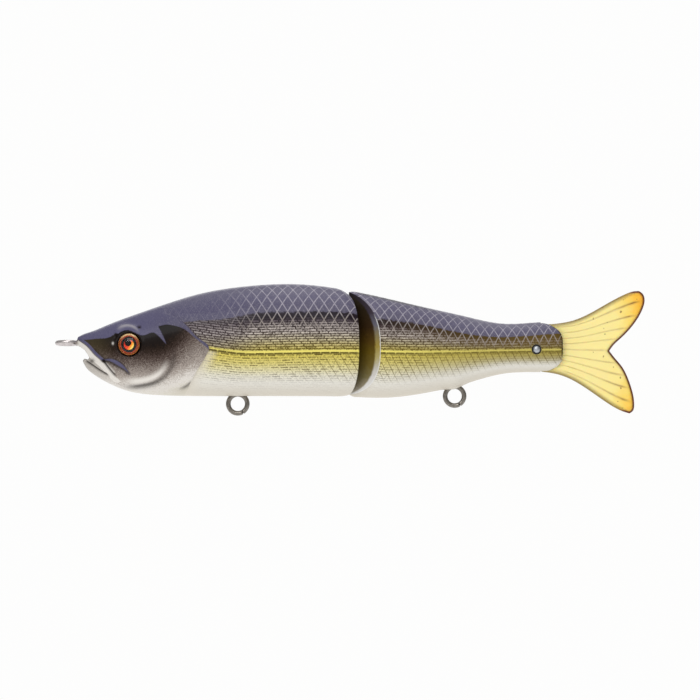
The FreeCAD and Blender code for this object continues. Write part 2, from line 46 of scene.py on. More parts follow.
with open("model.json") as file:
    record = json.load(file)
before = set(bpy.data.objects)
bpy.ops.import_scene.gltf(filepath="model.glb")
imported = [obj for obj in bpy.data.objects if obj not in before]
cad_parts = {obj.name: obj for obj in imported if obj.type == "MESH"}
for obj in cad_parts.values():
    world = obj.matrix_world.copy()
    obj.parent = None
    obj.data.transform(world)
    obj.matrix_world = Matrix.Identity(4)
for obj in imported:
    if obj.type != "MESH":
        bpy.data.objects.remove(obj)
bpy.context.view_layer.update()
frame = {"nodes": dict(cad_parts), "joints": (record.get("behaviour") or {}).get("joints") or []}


# ------------------------------------------------------------------ curves and small sums


def natural_spline(knots, values):
    """The smooth curve through values at knots, as a function that takes arrays."""
    x, y = np.asarray(knots, float), np.asarray(values, float)
    step = np.diff(x)
    count = len(x)
    matrix = np.eye(count)
    right = np.zeros(count)
    for i in range(1, count - 1):
        matrix[i, i - 1 : i + 2] = step[i - 1], 2 * (step[i - 1] + step[i]), step[i]
        right[i] = 6 * ((y[i + 1] - y[i]) / step[i] - (y[i] - y[i - 1]) / step[i - 1])
    bend = np.linalg.solve(matrix, right)

    def curve(at):
        at = np.clip(np.asarray(at, float), x[0], x[-1])
        i = np.clip(np.searchsorted(x, at) - 1, 0, count - 2)
        a, b = x[i + 1] - at, at - x[i]
        straight = (y[i] / step[i] - bend[i] * step[i] / 6) * a
        straight += (y[i + 1] / step[i] - bend[i + 1] * step[i] / 6) * b
        return straight + (bend[i] * a**3 + bend[i + 1] * b**3) / (6 * step[i])

    return curve


def through(points, count=48):
    """Points along the smooth plane curve that runs through the given ones."""
    points = np.asarray(points, float)
    run = np.concatenate([[0], np.cumsum(np.hypot(*np.diff(points, axis=0).T))])
    at = np.linspace(0, run[-1], count)
    return np.stack([natural_spline(run, points[:, k])(at) for k in (0, 1)], axis=1)


def step_up(low, high, value):
    """0 below low, 1 above high, and smooth between."""
    t = np.clip((value - low) / (high - low), 0, 1)
    return t * t * (3 - 2 * t)


NEAR = 6.0
KNOWN = 5.9  # a distance below this was worked out


def hump(value, width):
    """1 at zero, dying out over about width to each side."""
    return np.exp(-((value / width) ** 2))


def eased(run, start, end):
    """Along a line, rises from its beginning to start and falls from end to its finish."""
    return step_up(0, start, run) * step_up(1, end, run)


def near(curve, x, z):
    """Distance to a curve, positive on its right hand as it runs, and how far along it (0 to 1).

    Further off than NEAR it isn't worked out, and NEAR itself stands there.
    """
    best = np.full(x.shape, NEAR)
    along = np.zeros(x.shape)
    close = (x > curve[:, 0].min() - NEAR) & (x < curve[:, 0].max() + NEAR)
    close &= (z > curve[:, 1].min() - NEAR) & (z < curve[:, 1].max() + NEAR)
    px, pz = x[close], z[close]
    found, where = best[close], along[close]
    for i, (a, b) in enumerate(zip(curve, curve[1:])):
        d = b - a
        t = np.clip(((px - a[0]) * d[0] + (pz - a[1]) * d[1]) / (d @ d), 0, 1)
        gap_x, gap_z = px - a[0] - t * d[0], pz - a[1] - t * d[1]
        gap = np.hypot(gap_x, gap_z)
        nearer = gap < np.abs(found)
        side = np.where(d[1] * gap_x - d[0] * gap_z >= 0, 1.0, -1.0)
        found = np.where(nearer, gap * side, found)
        where = np.where(nearer, (i + t) / (len(curve) - 1), where)
    best[close], along[close] = found, where
    return best, along


def gap_to(line, x, z):
    """Distance to a line of points."""
    gap = np.full(x.shape, 1e9)
    for a, b in zip(line, line[1:]):
        d = b - a
        t = np.clip(((x - a[0]) * d[0] + (z - a[1]) * d[1]) / max(d @ d, 1e-12), 0, 1)
        gap = np.minimum(gap, np.hypot(x - a[0] - t * d[0], z - a[1] - t * d[1]))
    return gap


def inside(loop, x, z):
    """Distance to a closed outline, positive inside it."""
    loop = np.vstack([loop, loop[:1]])
    within = np.zeros(x.shape, bool)
    for a, b in zip(loop, loop[1:]):
        rise = b[1] - a[1]
        crosses = (a[1] > z) != (b[1] > z)
        edge = a[0] + (z - a[1]) * (b[0] - a[0]) / (rise if abs(rise) > 1e-12 else 1e-12)
        within ^= crosses & (x < edge)
    gap = gap_to(loop, x, z)
    return np.where(within, gap, -gap)


# ------------------------------------------------------------------ the fish's own lines

# along, height of the back, height of the belly, half of the width
STATIONS = np.array([
    (3.5, 1.9, -1.2, 1.5),
    (5.2, 2.8, -6.2, 3.6),
    (7.6, 3.6, -9.3, 5.3),
    (11.8, 5.3, -12.0, 7.3),
    (19.0, 8.1, -15.1, 9.2),
    (29.0, 11.6, -16.5, 10.5),
    (42.0, 15.6, -16.8, 11.3),
    (58.0, 18.1, -16.8, 11.6),
    (74.0, 18.6, -16.8, 11.6),
    (89.0, 16.7, -17.0, 11.4),
    (101.0, 14.2, -17.3, 10.9),
    (113.0, 11.4, -15.9, 9.6),
    (126.0, 8.5, -12.9, 7.6),
    (139.0, 6.1, -9.6, 5.7),
    (150.0, 6.6, -9.2, 4.7),
    (159.0, 6.3, -8.9, 3.9),
])
FULLNESS = 2.6
back_line, belly_line, half_line = (natural_spline(STATIONS[:, 0], STATIONS[:, k]) for k in (1, 2, 3))

stripe_line = natural_spline(
    (30.0, 40.0, 51.0, 60.0, 68.0, 86.0, 93.0, 100.0, 110.0, 126.0, 137.0, 152.0, 159.0),
    (6.0, 7.0, 7.8, 9.5, 9.9, 9.9, 9.2, 7.7, 6.3, 3.0, 1.9, 2.8, 3.2),
)
lateral_line = natural_spline(
    (40.0, 45.3, 49.6, 54.7, 60.2, 68.6, 92.0, 109.7, 137.6, 159.0),
    (-0.6, -1.5, -2.1, -2.7, -2.85, -2.7, -2.5, -2.75, -2.3, -2.0),
)

GILL_EDGE = through([
    (37.5, -16.3), (38.9, -13.6), (40.0, -11.2), (41.7, -8.3), (43.2, -6.0), (44.6, -3.6),
    (45.3, -1.5), (42.0, 1.5), (39.6, 4.0), (37.2, 6.4), (34.5, 8.1), (31.0, 9.4),
])
CAP = np.vstack([
    through([(2.0, 1.9), (5.9, 1.0), (8.4, 1.2), (11.1, 1.4), (13.8, 1.8), (15.6, 3.1)], 16),
    through([
        (16.6, 2.9), (18.7, 3.9), (20.7, 3.7), (23.8, 2.4), (25.5, 2.6), (27.6, 3.3), (29.2, 2.3),
        (31.9, -0.5),
    ], 24),
    through([(31.9, -0.5), (31.0, 1.9), (29.3, 5.2)], 10),
    through([(29.3, 5.2), (31.7, 5.8), (34.5, 5.4), (37.0, 4.6), (39.2, 3.0), (42.2, 0.5), (45.5, -2.2)], 20),
    np.array([(60.0, 0.0), (60.0, 40.0), (0.0, 40.0)]),
])
LIP_TOP = through([
    (2.9, 1.6), (4.6, 0.5), (6.6, -0.9), (9.0, -3.5), (11.4, -5.6), (13.6, -7.8), (16.1, -10.7),
])
MOUTH_LINE = through([(6.4, -5.9), (8.4, -7.2), (10.4, -8.6), (12.1, -9.6), (14.0, -10.6)])
JAW_LINE = through([(11.7, -5.5), (13.2, -7.5), (14.6, -9.2), (16.1, -10.9)])
MAXILLA = through([(11.6, -5.6), (13.8, -5.9), (16.3, -7.2), (18.7, -8.7), (20.5, -10.5)])
JAW_SHINE = through([(12.4, -6.3), (14.0, -7.9), (15.2, -9.2)])
PREOPERCLE = through([
    (16.6, -13.0), (20.9, -13.3), (24.8, -12.9), (28.0, -12.0), (30.6, -10.4), (32.4, -8.3),
    (33.4, -5.9), (33.5, -3.2), (33.2, -0.5),
])
THROAT = through([(40.2, -11.8), (38.4, -13.4), (36.6, -14.4), (34.9, -15.0)])
BROW = through([(15.4, 3.2), (17.0, 4.7), (19.4, 5.4), (21.7, 4.9), (23.8, 3.0)])

EYE = np.array([20.05, -0.45])
EYE_SOCKET = 3.85
EYE_TILT = radians(10.0)
EYE_DEPTH = 7.8  # from the middle plane to the bottom of the socket
FOIL_RADIUS, FOIL_THICKNESS, FOIL_LIFT = 3.42, 0.4, 0.08
LENS_RADIUS, LENS_RIM, LENS_RISE, LENS_LIFT = 3.40, 0.04, 1.2, 0.52
MOUTH_CORNER = (8.1, -5.7)
NOSTRIL = (15.6, 2.1)
BROW_PORE = (23.2, 5.0)

HINGE_X = frame["joints"][0]["pos_m"][0] / MM
NOTCH_X = 88.5
NOTCH_SLOPE = tan(radians(20.4))
NOSE_RADIUS = 2.7
NOSE_ANGLE = radians(46.3)
SHELL_END_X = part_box("rear_shell_left")[1].x / MM
SHELL_END_Z = -1.6
SHELL_END_HALF = 8.0
SHELL_END_REACH = 4.9
HOOK_MOUND_X = 122.8
CAP_END, HEAD_END = 50.0, 52.0

# the net of scales over the dark stripe, and the rows of scales below it
NET_PITCH_FRONT, NET_PITCH_REAR = 3.28, 2.88
NET_PITCH_CHANGE = 96.0
NET_ROW = 2.8
NET_START = 73.3
ROW_PITCH = 0.78

# wire rings and twisted wire
WIRE_RADIUS, RING_RADIUS = 0.75, 3.0
RING_SWEEP = 352.0  # degrees, which leaves a hairline between the wire's end and its shank
FRONT_HOOK_RING, REAR_HOOK_RING = (54.1, 0, -19.25), (122.8, 0, -16.8)
HOOK_RING_START, TIE_RING_START = -56.0, 4.0
HOOK_RING_AXES = ((1, 0, 0), (0, 0, 1))
TIE_LEAN = radians(-5.0)
TIE_RING_AXES = ((1, 0, 0), (0, cos(TIE_LEAN), sin(TIE_LEAN)))
STRAND_RADIUS, STRAND_OFFSET = 0.5, 0.45

# what is cut out of the shells
HINGE_SLOT_RADIUS, HINGE_SLOT_HEIGHT = 3.3, 2.6
PIN_RECESS_RADIUS, PIN_RECESS_DEPTH, PIN_RECESS_MIDDLE = 1.62, 6.0, -6.9
TAIL_SLOT_HALF = 1.5
TAIL_SLOT = [(150.0, -20.0), (170.0, -20.0), (170.0, 20.0), (150.0, 20.0)]
MOUTH_DEPTH = 12.0
MOUTH_OPENING = [
    (1.0, -0.7), (3.2, -0.8), (4.3, -1.2), (5.9, -2.3), (6.9, -3.8), (7.3, -4.6), (6.9, -5.2), (6.2, -5.2),
    (5.6, -5.0), (5.1, -5.6), (4.7, -6.6), (1.0, -9.0),
]

# the halves' meshes: material numbers, steps from back to belly, columns and the rounding at the joint
SKIN, FACE, MOUTH = 0, 1, 2
TURNS = 200
FRONT_COLUMNS, REAR_COLUMNS = 400, 330
NOTCH_COLUMNS, WEDGE_COLUMNS = 40, 60
EDGE = 0.45
BORDER_REACH = 4.0


def around(x, turn):
    """The left side's skin at a place along the fish, turn running from the back (0) to the belly (pi)."""
    top, bottom, half = back_line(x), belly_line(x), half_line(x)
    c = np.cos(turn)
    y = -half * np.sqrt(np.clip(1 - np.abs(c) ** FULLNESS, 0, None))
    z = (top + bottom) / 2 + (top - bottom) / 2 * c
    return np.stack(np.broadcast_arrays(x, y, z), axis=-1)


def notch_plan(y):
    """Where the front section's V face stands along the fish, at a distance from the middle."""
    return NOTCH_X + NOTCH_SLOPE * np.abs(y)


def wedge_plan(y):
    """Where the rear section's rounded V nose stands along the fish."""
    y = np.abs(y)
    touch_x, touch_y = HINGE_X - NOSE_RADIUS * cos(NOSE_ANGLE), NOSE_RADIUS * sin(NOSE_ANGLE)
    round_part = HINGE_X - np.sqrt(np.clip(NOSE_RADIUS**2 - np.minimum(y, touch_y) ** 2, 0, None))
    return np.where(y < touch_y, round_part, touch_x + (y - touch_y) * tan(NOSE_ANGLE))


def meeting(plan, turn):
    """Where each line of the skin meets a face that is given from above."""
    x = np.full(turn.shape, float(plan(0.0)))
    for _ in range(30):
        x = plan(around(x, turn)[..., 1])
    return x


def end_plan(turn):
    """Where the rear section's rounded end stands, seen from the side."""
    x = np.full(turn.shape, SHELL_END_X - 3)
    for _ in range(30):
        z = around(x, turn)[..., 2]
        x = SHELL_END_X - SHELL_END_REACH * np.abs((z - SHELL_END_Z) / SHELL_END_HALF) ** 4
    return x


# ------------------------------------------------------------------ relief and paint fields


def head_relief(x, z):
    """How far the skin stands out on the head, from its gill plates, jaws, brow and eye socket."""
    gill, _ = near(GILL_EDGE, x, z)
    upper = step_up(10.5, 8.0, z) * step_up(-17.0, -13.0, z)
    beyond = (x > np.interp(z, GILL_EDGE[:, 1], GILL_EDGE[:, 0])) & (gill < KNOWN)
    relief = -0.55 * step_up(0, 0.4, np.abs(gill)) * np.exp(-np.abs(gill) / 2.5) * upper * beyond
    relief += 0.12 * hump(gill + 0.7, 0.6) * upper
    ridge, run = near(PREOPERCLE, x, z)
    relief += eased(run, 0.3, 0.75) * (0.40 * hump(ridge + 1.1, 0.8) - 0.45 * hump(ridge - 0.5, 0.7))
    groove, run = near(THROAT, x, z)
    relief -= 0.28 * hump(groove, 0.5) * eased(run, 0.3, 0.7)
    for line, depth, width in ((MOUTH_LINE, 0.45, 0.35), (JAW_LINE, 0.40, 0.35), (MAXILLA, 0.25, 0.4)):
        gap, run = near(line, x, z)
        relief -= depth * hump(gap, width) * step_up(1, 0.8, run)
    gap, run = near(MAXILLA, x, z)
    relief += 0.25 * hump(gap + 0.6, 0.6) * eased(run, 0.3, 0.7)
    gap, run = near(LIP_TOP, x, z)
    relief += 0.20 * step_up(-0.3, 0.2, gap) * step_up(1.9, 1.2, gap) - 0.12 * hump(gap + 0.2, 0.25)
    gap, run = near(BROW, x, z)
    relief += 0.5 * hump(gap, 0.8) * eased(run, 0.2, 0.8)
    from_eye = np.hypot(x - EYE[0], z - EYE[1])
    relief += 0.18 * hump(from_eye - EYE_SOCKET - 0.45, 0.4)
    relief -= 2.2 * step_up(EYE_SOCKET, EYE_SOCKET - 0.25, from_eye)
    for pore, size, depth in ((NOSTRIL, 0.6, 0.45), (BROW_PORE, 0.5, 0.5)):
        relief -= depth * hump(np.hypot(x - pore[0], z - pore[1]), size)
    return relief


def scale_relief(x, z, arc_to_stripe, arc_to_lateral):
    """The lateral line, the net of scales over it and the fine rows below, all behind the gills."""
    behind = step_up(41, 47, x)
    fall = z - lateral_line(x)
    relief = behind * (0.13 * hump(fall, 0.28) - 0.12 * hump(fall + 0.55, 0.25))
    across, down = net_turns(x, arc_to_stripe)
    lines = np.maximum(ridge_of(across + down), ridge_of(across - down))
    relief += 0.035 * lines * step_up(48, 60, x) * step_up(-4.5, -1.5, arc_to_stripe)
    relief -= 0.02 * np.cos(2 * pi * arc_to_lateral / ROW_PITCH) * behind * step_up(0.5, -1, arc_to_stripe)
    return relief


def net_turns(x, arc):
    """The net's two coordinates, counted in diamonds."""
    front = (x - NET_START) / NET_PITCH_FRONT
    rear = (NET_PITCH_CHANGE - NET_START) / NET_PITCH_FRONT + (x - NET_PITCH_CHANGE) / NET_PITCH_REAR
    return np.where(x < NET_PITCH_CHANGE, front, rear), arc / (2 * NET_ROW)


def ridge_of(turns):
    """1 on each whole turn and 0 between."""
    off = np.abs(turns - np.round(turns))
    return step_up(0.09, 0.03, off)


def painted_shade_and_lines(x, z):
    """How dark the head is painted: painted shade in its creases and round the eye, mouth corner and pores,
    plus dark lines.
    """
    mouth, mouth_run = near(MOUTH_LINE, x, z)
    jaw, jaw_run = near(JAW_LINE, x, z)
    maxilla, maxilla_run = near(MAXILLA, x, z)
    ridge, ridge_run = near(PREOPERCLE, x, z)
    throat, throat_run = near(THROAT, x, z)
    lip, lip_run = near(LIP_TOP, x, z)
    # Painted shade along the creases of the mouth, the jaw and the upper jaw.
    dark = 0.9 * hump(mouth, 0.32) * step_up(1, 0.8, mouth_run)
    dark += 0.9 * hump(jaw, 0.30) * step_up(1, 0.8, jaw_run)
    dark += 0.75 * hump(maxilla - 0.1, 0.38) * step_up(1, 0.85, maxilla_run)
    # Painted shade in the groove under the gill plate's edge and in the throat's groove.
    shade_under_plate = 0.75 * eased(ridge_run, 0.25, 0.8) * hump(ridge - 0.65, 0.75)
    dark += shade_under_plate * (0.55 + 0.45 * step_up(0.75, 0.4, ridge_run))
    dark += 0.65 * hump(throat, 0.5) * eased(throat_run, 0.2, 0.5)
    # Painted shadow round the eye's socket, in the mouth's corner and in the nostril's and the brow's pores.
    dark += 0.95 * step_up(4.2, 3.8, np.hypot(x - EYE[0], z - EYE[1]))
    dark += 0.7 * hump(np.hypot(x - MOUTH_CORNER[0], 1.2 * (z - MOUTH_CORNER[1])), 0.75)
    dark += 0.7 * hump(np.hypot(1.5 * (x - NOSTRIL[0]), z - NOSTRIL[1]), 0.8)
    dark += 1.0 * hump(np.hypot(x - BROW_PORE[0], z - BROW_PORE[1]), 0.5)
    over_lip = maxilla + maxilla_width(maxilla_run) + 0.1
    dark += 0.6 * hump(over_lip, 0.25) * (maxilla_run > 0.02) * step_up(1, 0.9, maxilla_run)
    dark += 0.5 * hump(lip + 1.1, 0.25) * step_up(0.3, 0.4, lip_run) * step_up(0.66, 0.6, lip_run)
    return np.clip(dark, 0, 1)


def pale_paint_and_highlights(x, z):
    """How pale the head is painted: the lip and chin, with painted highlights on the lip, gill plate's edge,
    brow, nostril and jaw.
    """
    lip, _ = near(LIP_TOP, x, z)
    ridge, ridge_run = near(PREOPERCLE, x, z)
    brow, brow_run = near(BROW, x, z)
    shine, _ = near(JAW_SHINE, x, z)
    # The lip's pale band, its own pale paint with painted highlight on the raised lip; the chin below is pale
    # paint.
    pale = 0.9 * step_up(0.0, 0.35, lip) * step_up(2.0, 1.6, lip)
    pale *= 1 - 0.9 * hump(np.hypot(x - MOUTH_CORNER[0], 1.2 * (z - MOUTH_CORNER[1])), 0.9)
    pale += 0.45 * step_up(1.4, 1.9, lip) * step_up(16.5, 14.0, x) * (lip < KNOWN)
    # Painted highlight along the gill plate's raised edge.
    plate_edge_highlight = 0.95 * eased(ridge_run, 0.25, 0.8) * hump(ridge + 1.35, 0.85)
    pale += plate_edge_highlight * step_up(0.85, 0.5, ridge_run)
    # A painted glint on the nostril, a painted highlight over the brow and a painted glint along the jaw.
    pale += 0.8 * hump(np.hypot(1.4 * (x - 14.9), z + 0.1), 0.42)
    pale += 0.3 * hump(brow - 0.1, 0.4) * step_up(0.05, 0.35, brow_run) * step_up(0.98, 0.7, brow_run)
    pale += 0.7 * hump(shine, 0.35)
    return np.clip(pale, 0, 1)


def maxilla_width(run):
    """The lilac crescent over the upper jaw is widest in its middle."""
    return 0.25 + 1.15 * np.sin(pi * np.clip(run * 1.1, 0, 1))


def cap_reach(x, z):
    """Positive where the lilac cap covers the head, with its crescent and its strip along the lip."""
    cap = np.full(x.shape, -NEAR)
    head = x < CAP_END
    cap[head] = np.clip(inside(CAP, x[head], z[head]), -NEAR, NEAR)
    maxilla, run = near(MAXILLA, x, z)
    crescent = step_up(-0.12, 0.12, maxilla + maxilla_width(run)) * step_up(0.0, -0.25, maxilla)
    cap = np.maximum(cap, crescent * (np.abs(maxilla) < 3) * 2 - 1)
    lip, run = near(LIP_TOP, x, z)
    strip = step_up(-0.95, -0.75, lip) * step_up(0.1, -0.1, lip) * step_up(0.66, 0.6, run)
    return np.maximum(cap, strip * 2 - 1)


def cheek_shade(x, z):
    """Height for the cheek's colours, bent so that they follow the jaw and the gill cover."""
    plate = step_up(28, 43, x)
    shade = (1 - plate) * (z - 0.22 * np.clip(17 - x, 0, 12))
    return shade + plate * (0.5 * z - 7.4 + 0.5 * np.minimum(z + 6.5, 0))


def paint_fields(points, arc):
    """What the paint needs to know at each point of the skin."""
    x, z = points[..., 0], points[..., 2]
    stripe, lateral = stripe_line(x), lateral_line(x)
    above = (z - lateral) / (stripe - lateral)
    below = (z - lateral) / (lateral - belly_line(x))
    gill = np.abs(near(GILL_EDGE, x, z)[0])
    across, down = net_turns(x, arc["stripe"])
    return {
        "along": x,
        "height": z,
        "level": np.where(z > lateral, above, below),
        "row": arc["lateral"] / ROW_PITCH,
        "net_across": across,
        "net_down": down,
        "behind": np.where(x > np.interp(z, GILL_EDGE[:, 1], GILL_EDGE[:, 0]), gill, -gill),
        "cap": cap_reach(x, z),
        "shade": cheek_shade(x, z),
        "dark": painted_shade_and_lines(x, z),
        "pale": pale_paint_and_highlights(x, z),
        "to_end": np.full(x.shape, 50.0),
        "border": np.zeros(x.shape),
    }


# ------------------------------------------------------------------ building meshes


def grid_faces(rows, columns):
    """The quads of a grid of points that is stored row by row."""
    a = (np.arange(rows - 1)[:, None] * columns + np.arange(columns - 1)[None, :]).ravel()
    return np.stack([a, a + 1, a + columns + 1, a + columns], axis=1)


def mesh_of(name, points, faces, fields=None, tags=None):
    """A mesh in metres from points in millimetres, with a number per point for each field."""
    mesh = bpy.data.meshes.new(name)
    mesh.from_pydata((points.reshape(-1, 3) * MM).tolist(), [], faces.tolist())
    for field, values in (fields or {}).items():
        layer = mesh.attributes.new(field, "FLOAT", "POINT")
        layer.data.foreach_set("value", np.asarray(values, np.float32).ravel())
    if tags is not None:
        mesh.polygons.foreach_set("material_index", np.asarray(tags, np.int32))
    mesh.polygons.foreach_set("use_smooth", np.ones(len(mesh.polygons), bool))
    mesh.update()
    return mesh


def object_of(name, mesh, body, materials):
    """Puts a mesh into the scene as a piece that rides on a body."""
    piece = bpy.data.objects.new(name, mesh)
    bpy.context.scene.collection.objects.link(piece)
    if not mesh.materials:
        for material in materials:
            mesh.materials.append(material)
    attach(piece, body)
    return piece


def arcs(points, line):
    """Arc length down each column of the skin, counted from where the column crosses a line."""
    steps = np.linalg.norm(np.diff(points, axis=0), axis=2)
    run = np.vstack([np.zeros(points.shape[1]), np.cumsum(steps, axis=0)])
    z = points[..., 2]
    target = line(points[..., 0])
    above = z >= target
    last = np.clip(above.sum(axis=0) - 1, 0, len(z) - 2)
    columns = np.arange(points.shape[1])
    z0, z1 = z[last, columns], z[last + 1, columns]
    part = np.clip((z0 - target[last, columns]) / np.maximum(z0 - z1, 1e-6), 0, 1)
    zero = run[last, columns] + part * (run[last + 1, columns] - run[last, columns])
    return zero[None, :] - run


def normals_of(points):
    """Outward normals of a skin whose rows run from the back down and whose columns run tailward."""
    down = np.gradient(points, axis=0)
    along = np.gradient(points, axis=1)
    normal = np.cross(down, along)
    normal[0, :, 1] = normal[-1, :, 1] = 0
    length = np.linalg.norm(normal, axis=2, keepdims=True)
    return normal / np.maximum(length, 1e-9)


def rounded(skin, corner, face, count):
    """Points that turn smoothly from the skin round a corner to the face behind it."""
    t = np.linspace(0, 1, count + 2)[1:-1][None, :, None]
    return skin[:, None] * (1 - t) ** 2 + corner[:, None] * 2 * t * (1 - t) + face[:, None] * t**2


def weld(mesh, reach, least):
    """Joins points within reach metres, shuts open rims with a flat face and turns all faces outward."""
    bm = bmesh.new()
    bm.from_mesh(mesh)
    bmesh.ops.remove_doubles(bm, verts=bm.verts, dist=reach)
    bmesh.ops.dissolve_degenerate(bm, edges=bm.edges, dist=least)
    rim = [edge for edge in bm.edges if edge.is_boundary]
    if rim:
        for face in bmesh.ops.contextual_create(bm, geom=rim)["faces"]:
            face.smooth = False
    bmesh.ops.recalc_face_normals(bm, faces=bm.faces)
    bm.to_mesh(mesh)
    bm.free()


def shell_mesh(name, strips, tags, fields):
    """One closed half shell from strips of points, shut along the middle plane."""
    points = np.concatenate(strips, axis=1)
    rows, columns = points.shape[:2]
    tag = np.tile(np.asarray(tags)[: columns - 1], rows - 1)
    mesh = mesh_of(name, points, grid_faces(rows, columns), fields, tag)
    weld(mesh, 1e-6, 1e-7)
    return mesh


def skin_with_relief(points, from_joint):
    """Moves a skin out by its relief, which dies out at the joint, and gives what its paint needs."""
    arc = {"stripe": arcs(points, stripe_line), "lateral": arcs(points, lateral_line)}
    x, z = points[..., 0], points[..., 2]
    relief = scale_relief(x, z, arc["stripe"], arc["lateral"]) * step_up(0.3, 1.6, from_joint)
    head = x < HEAD_END
    relief[head] += head_relief(x[head], z[head])
    relief += 0.8 * hump(np.hypot(x - HOOK_MOUND_X, 0.8 * (z - belly_line(x))), 2.9) * (x > 100)
    return points + normals_of(points) * relief[..., None], paint_fields(points, arc)


def spread(fields, columns_before, columns_after):
    """Repeats the first and last columns' values over the strips beside the skin."""
    return {
        name: np.pad(values, ((0, 0), (columns_before, columns_after)), mode="edge")
        for name, values in fields.items()
    }


def eased_edge(points, from_edge, depth_top, depth_side, width):
    """Rounds a skin down towards a joint, more at the back than on the sides."""
    normal = normals_of(points)
    top = np.clip(normal[..., 2:], 0, 1)
    depth = depth_side + (depth_top - depth_side) * top
    return points - normal * depth * (np.clip(1 - from_edge / width, 0, 1) ** 2)[..., None]


def joint_edge(plan):
    """The skin's lines, where each meets a face of the joint, and how wide its edge is rounded."""
    turn = np.linspace(0, pi, TURNS + 1)[:, None]
    edge_x = meeting(plan, turn)
    edge = around(edge_x, turn)[:, 0]
    bevel = np.minimum(EDGE, np.abs(edge[:, 1]) * 0.5)[:, None]
    return turn, edge_x, bevel


def carried_on(last, before, step, reach):
    """Where lines that run from one point to the last get to, further on by reach."""
    return last + (last - before) / np.maximum(step, 1e-6) * reach


def front_half():
    """The left half of the head and shoulders."""
    turn, edge_x, bevel = joint_edge(notch_plan)
    start = STATIONS[0, 0] + 0.3
    x = start + (edge_x - bevel - start) * np.linspace(0, 1, FRONT_COLUMNS)[None, :]
    points = around(x, np.broadcast_to(turn, x.shape))
    points, fields = skin_with_relief(points, edge_x - x)
    points = eased_edge(points, edge_x - x, 1.1, 0.35, 3.6)
    corner = carried_on(points[:, -1], points[:, -2], x[:, -1:] - x[:, -2:-1], bevel)
    inward = corner + bevel * np.array([-NOTCH_SLOPE, 1, 0])
    curve = rounded(points[:, -1], corner, inward, 3)
    depth = inward[:, 1:2] * np.linspace(1, 0, NOTCH_COLUMNS)[None, :]
    wall_x = corner[:, :1] - NOTCH_SLOPE * (np.abs(corner[:, 1:2]) - np.abs(depth))
    wall = np.stack(np.broadcast_arrays(wall_x, depth, inward[:, 2:]), axis=-1)
    first = points[:, :1]
    centre = first.mean(axis=0, keepdims=True) * np.array([1, 0, 1])
    swell = np.sin(np.linspace(0, pi / 2, 8)[:-1])[None, :, None]
    cap = centre + (first - centre) * swell
    cap[..., 0] = start - 0.7 * np.sqrt(1 - swell[..., 0] ** 2)
    strips = [cap, points, curve, wall]
    counts = [s.shape[1] for s in strips]
    tags = [SKIN] * (counts[0] + counts[1] + counts[2] - 1) + [FACE] * counts[3]
    return shell_mesh("front_half", strips, tags, spread(fields, counts[0], counts[2] + counts[3]))


def rear_half():
    """The left half of the rear section, from its V nose to its rounded end."""
    turn, edge_x, bevel = joint_edge(wedge_plan)
    end_x = end_plan(turn)
    x = edge_x + bevel + (end_x - edge_x - bevel) * np.linspace(0, 1, REAR_COLUMNS)[None, :]
    points = around(x, np.broadcast_to(turn, x.shape))
    points, fields = skin_with_relief(points, x - edge_x)
    fields["to_end"] = end_x - x
    points = eased_edge(points, x - edge_x, 0.5, 0.7, 2.2)
    points = eased_edge(points, end_x - x, 0.3, 0.7, 2.0)
    corner = carried_on(points[:, 0], points[:, 1], x[:, 1:2] - x[:, :1], bevel)
    part = np.linspace(0, 1, WEDGE_COLUMNS)[None, :]
    depth = np.abs(corner[:, 1:2]) * part
    shift = corner[:, :1] - wedge_plan(corner[:, 1:2])
    wall_x = wedge_plan(depth) + shift * part**4
    wall = np.stack(np.broadcast_arrays(wall_x, -depth, corner[:, 2:]), axis=-1)
    curve = rounded(wall[:, -2], corner, points[:, 0], 3)
    wall = wall[:, :-1]
    last = points[:, -1:]
    across = np.linspace(1, 0, 10)[None, 1:, None]
    end = last * np.array([1, 0, 1]) + last * np.array([0, 1, 0]) * across
    strips = [wall, curve, points, end]
    counts = [s.shape[1] for s in strips]
    tags = [FACE] * (counts[0] - 1) + [SKIN] * (counts[1] + counts[2] + counts[3])
    fields = spread(fields, counts[0] + counts[1], counts[3])
    fields["border"][:, : counts[0]] = np.clip(1 - (corner[:, :1] - wall[..., 0]) / BORDER_REACH, 0, 1)
    return shell_mesh("rear_half", strips, tags, fields)


def solid(name, mesh):
    """A scratch object that is only used to cut with."""
    cutter = bpy.data.objects.new(name, mesh)
    bpy.context.scene.collection.objects.link(cutter)
    return cutter


def cutter_of(name, bm, tag):
    """Makes a scratch object of what was built, with one material number all over."""
    for face in bm.faces:
        face.material_index = tag
    bmesh.ops.recalc_face_normals(bm, faces=bm.faces)
    mesh = bpy.data.meshes.new(name)
    bm.to_mesh(mesh)
    bm.free()
    return solid(name, mesh)


def prism(name, outline, depth, tag):
    """A block that reaches depth to both sides of the middle plane, from an outline in the side view."""
    bm = bmesh.new()
    side = bm.faces.new([bm.verts.new((x * MM, -depth * MM, z * MM)) for x, z in outline])
    moved = bmesh.ops.extrude_face_region(bm, geom=[side])["geom"]
    corners = [item for item in moved if isinstance(item, bmesh.types.BMVert)]
    bmesh.ops.translate(bm, verts=corners, vec=(0, 2 * depth * MM, 0))
    return cutter_of(name, bm, tag)


def drum(name, centre, radius, height, axis, tag):
    """A round cutter about Y or Z."""
    turn = {"Z": Matrix.Identity(4), "Y": Matrix.Rotation(pi / 2, 4, "X")}[axis]
    bm = bmesh.new()
    bmesh.ops.create_cone(
        bm, cap_ends=True, segments=64, radius1=radius * MM, radius2=radius * MM, depth=height * MM,
        matrix=Matrix.Translation(Vector(centre) * MM) @ turn,
    )
    return cutter_of(name, bm, tag)


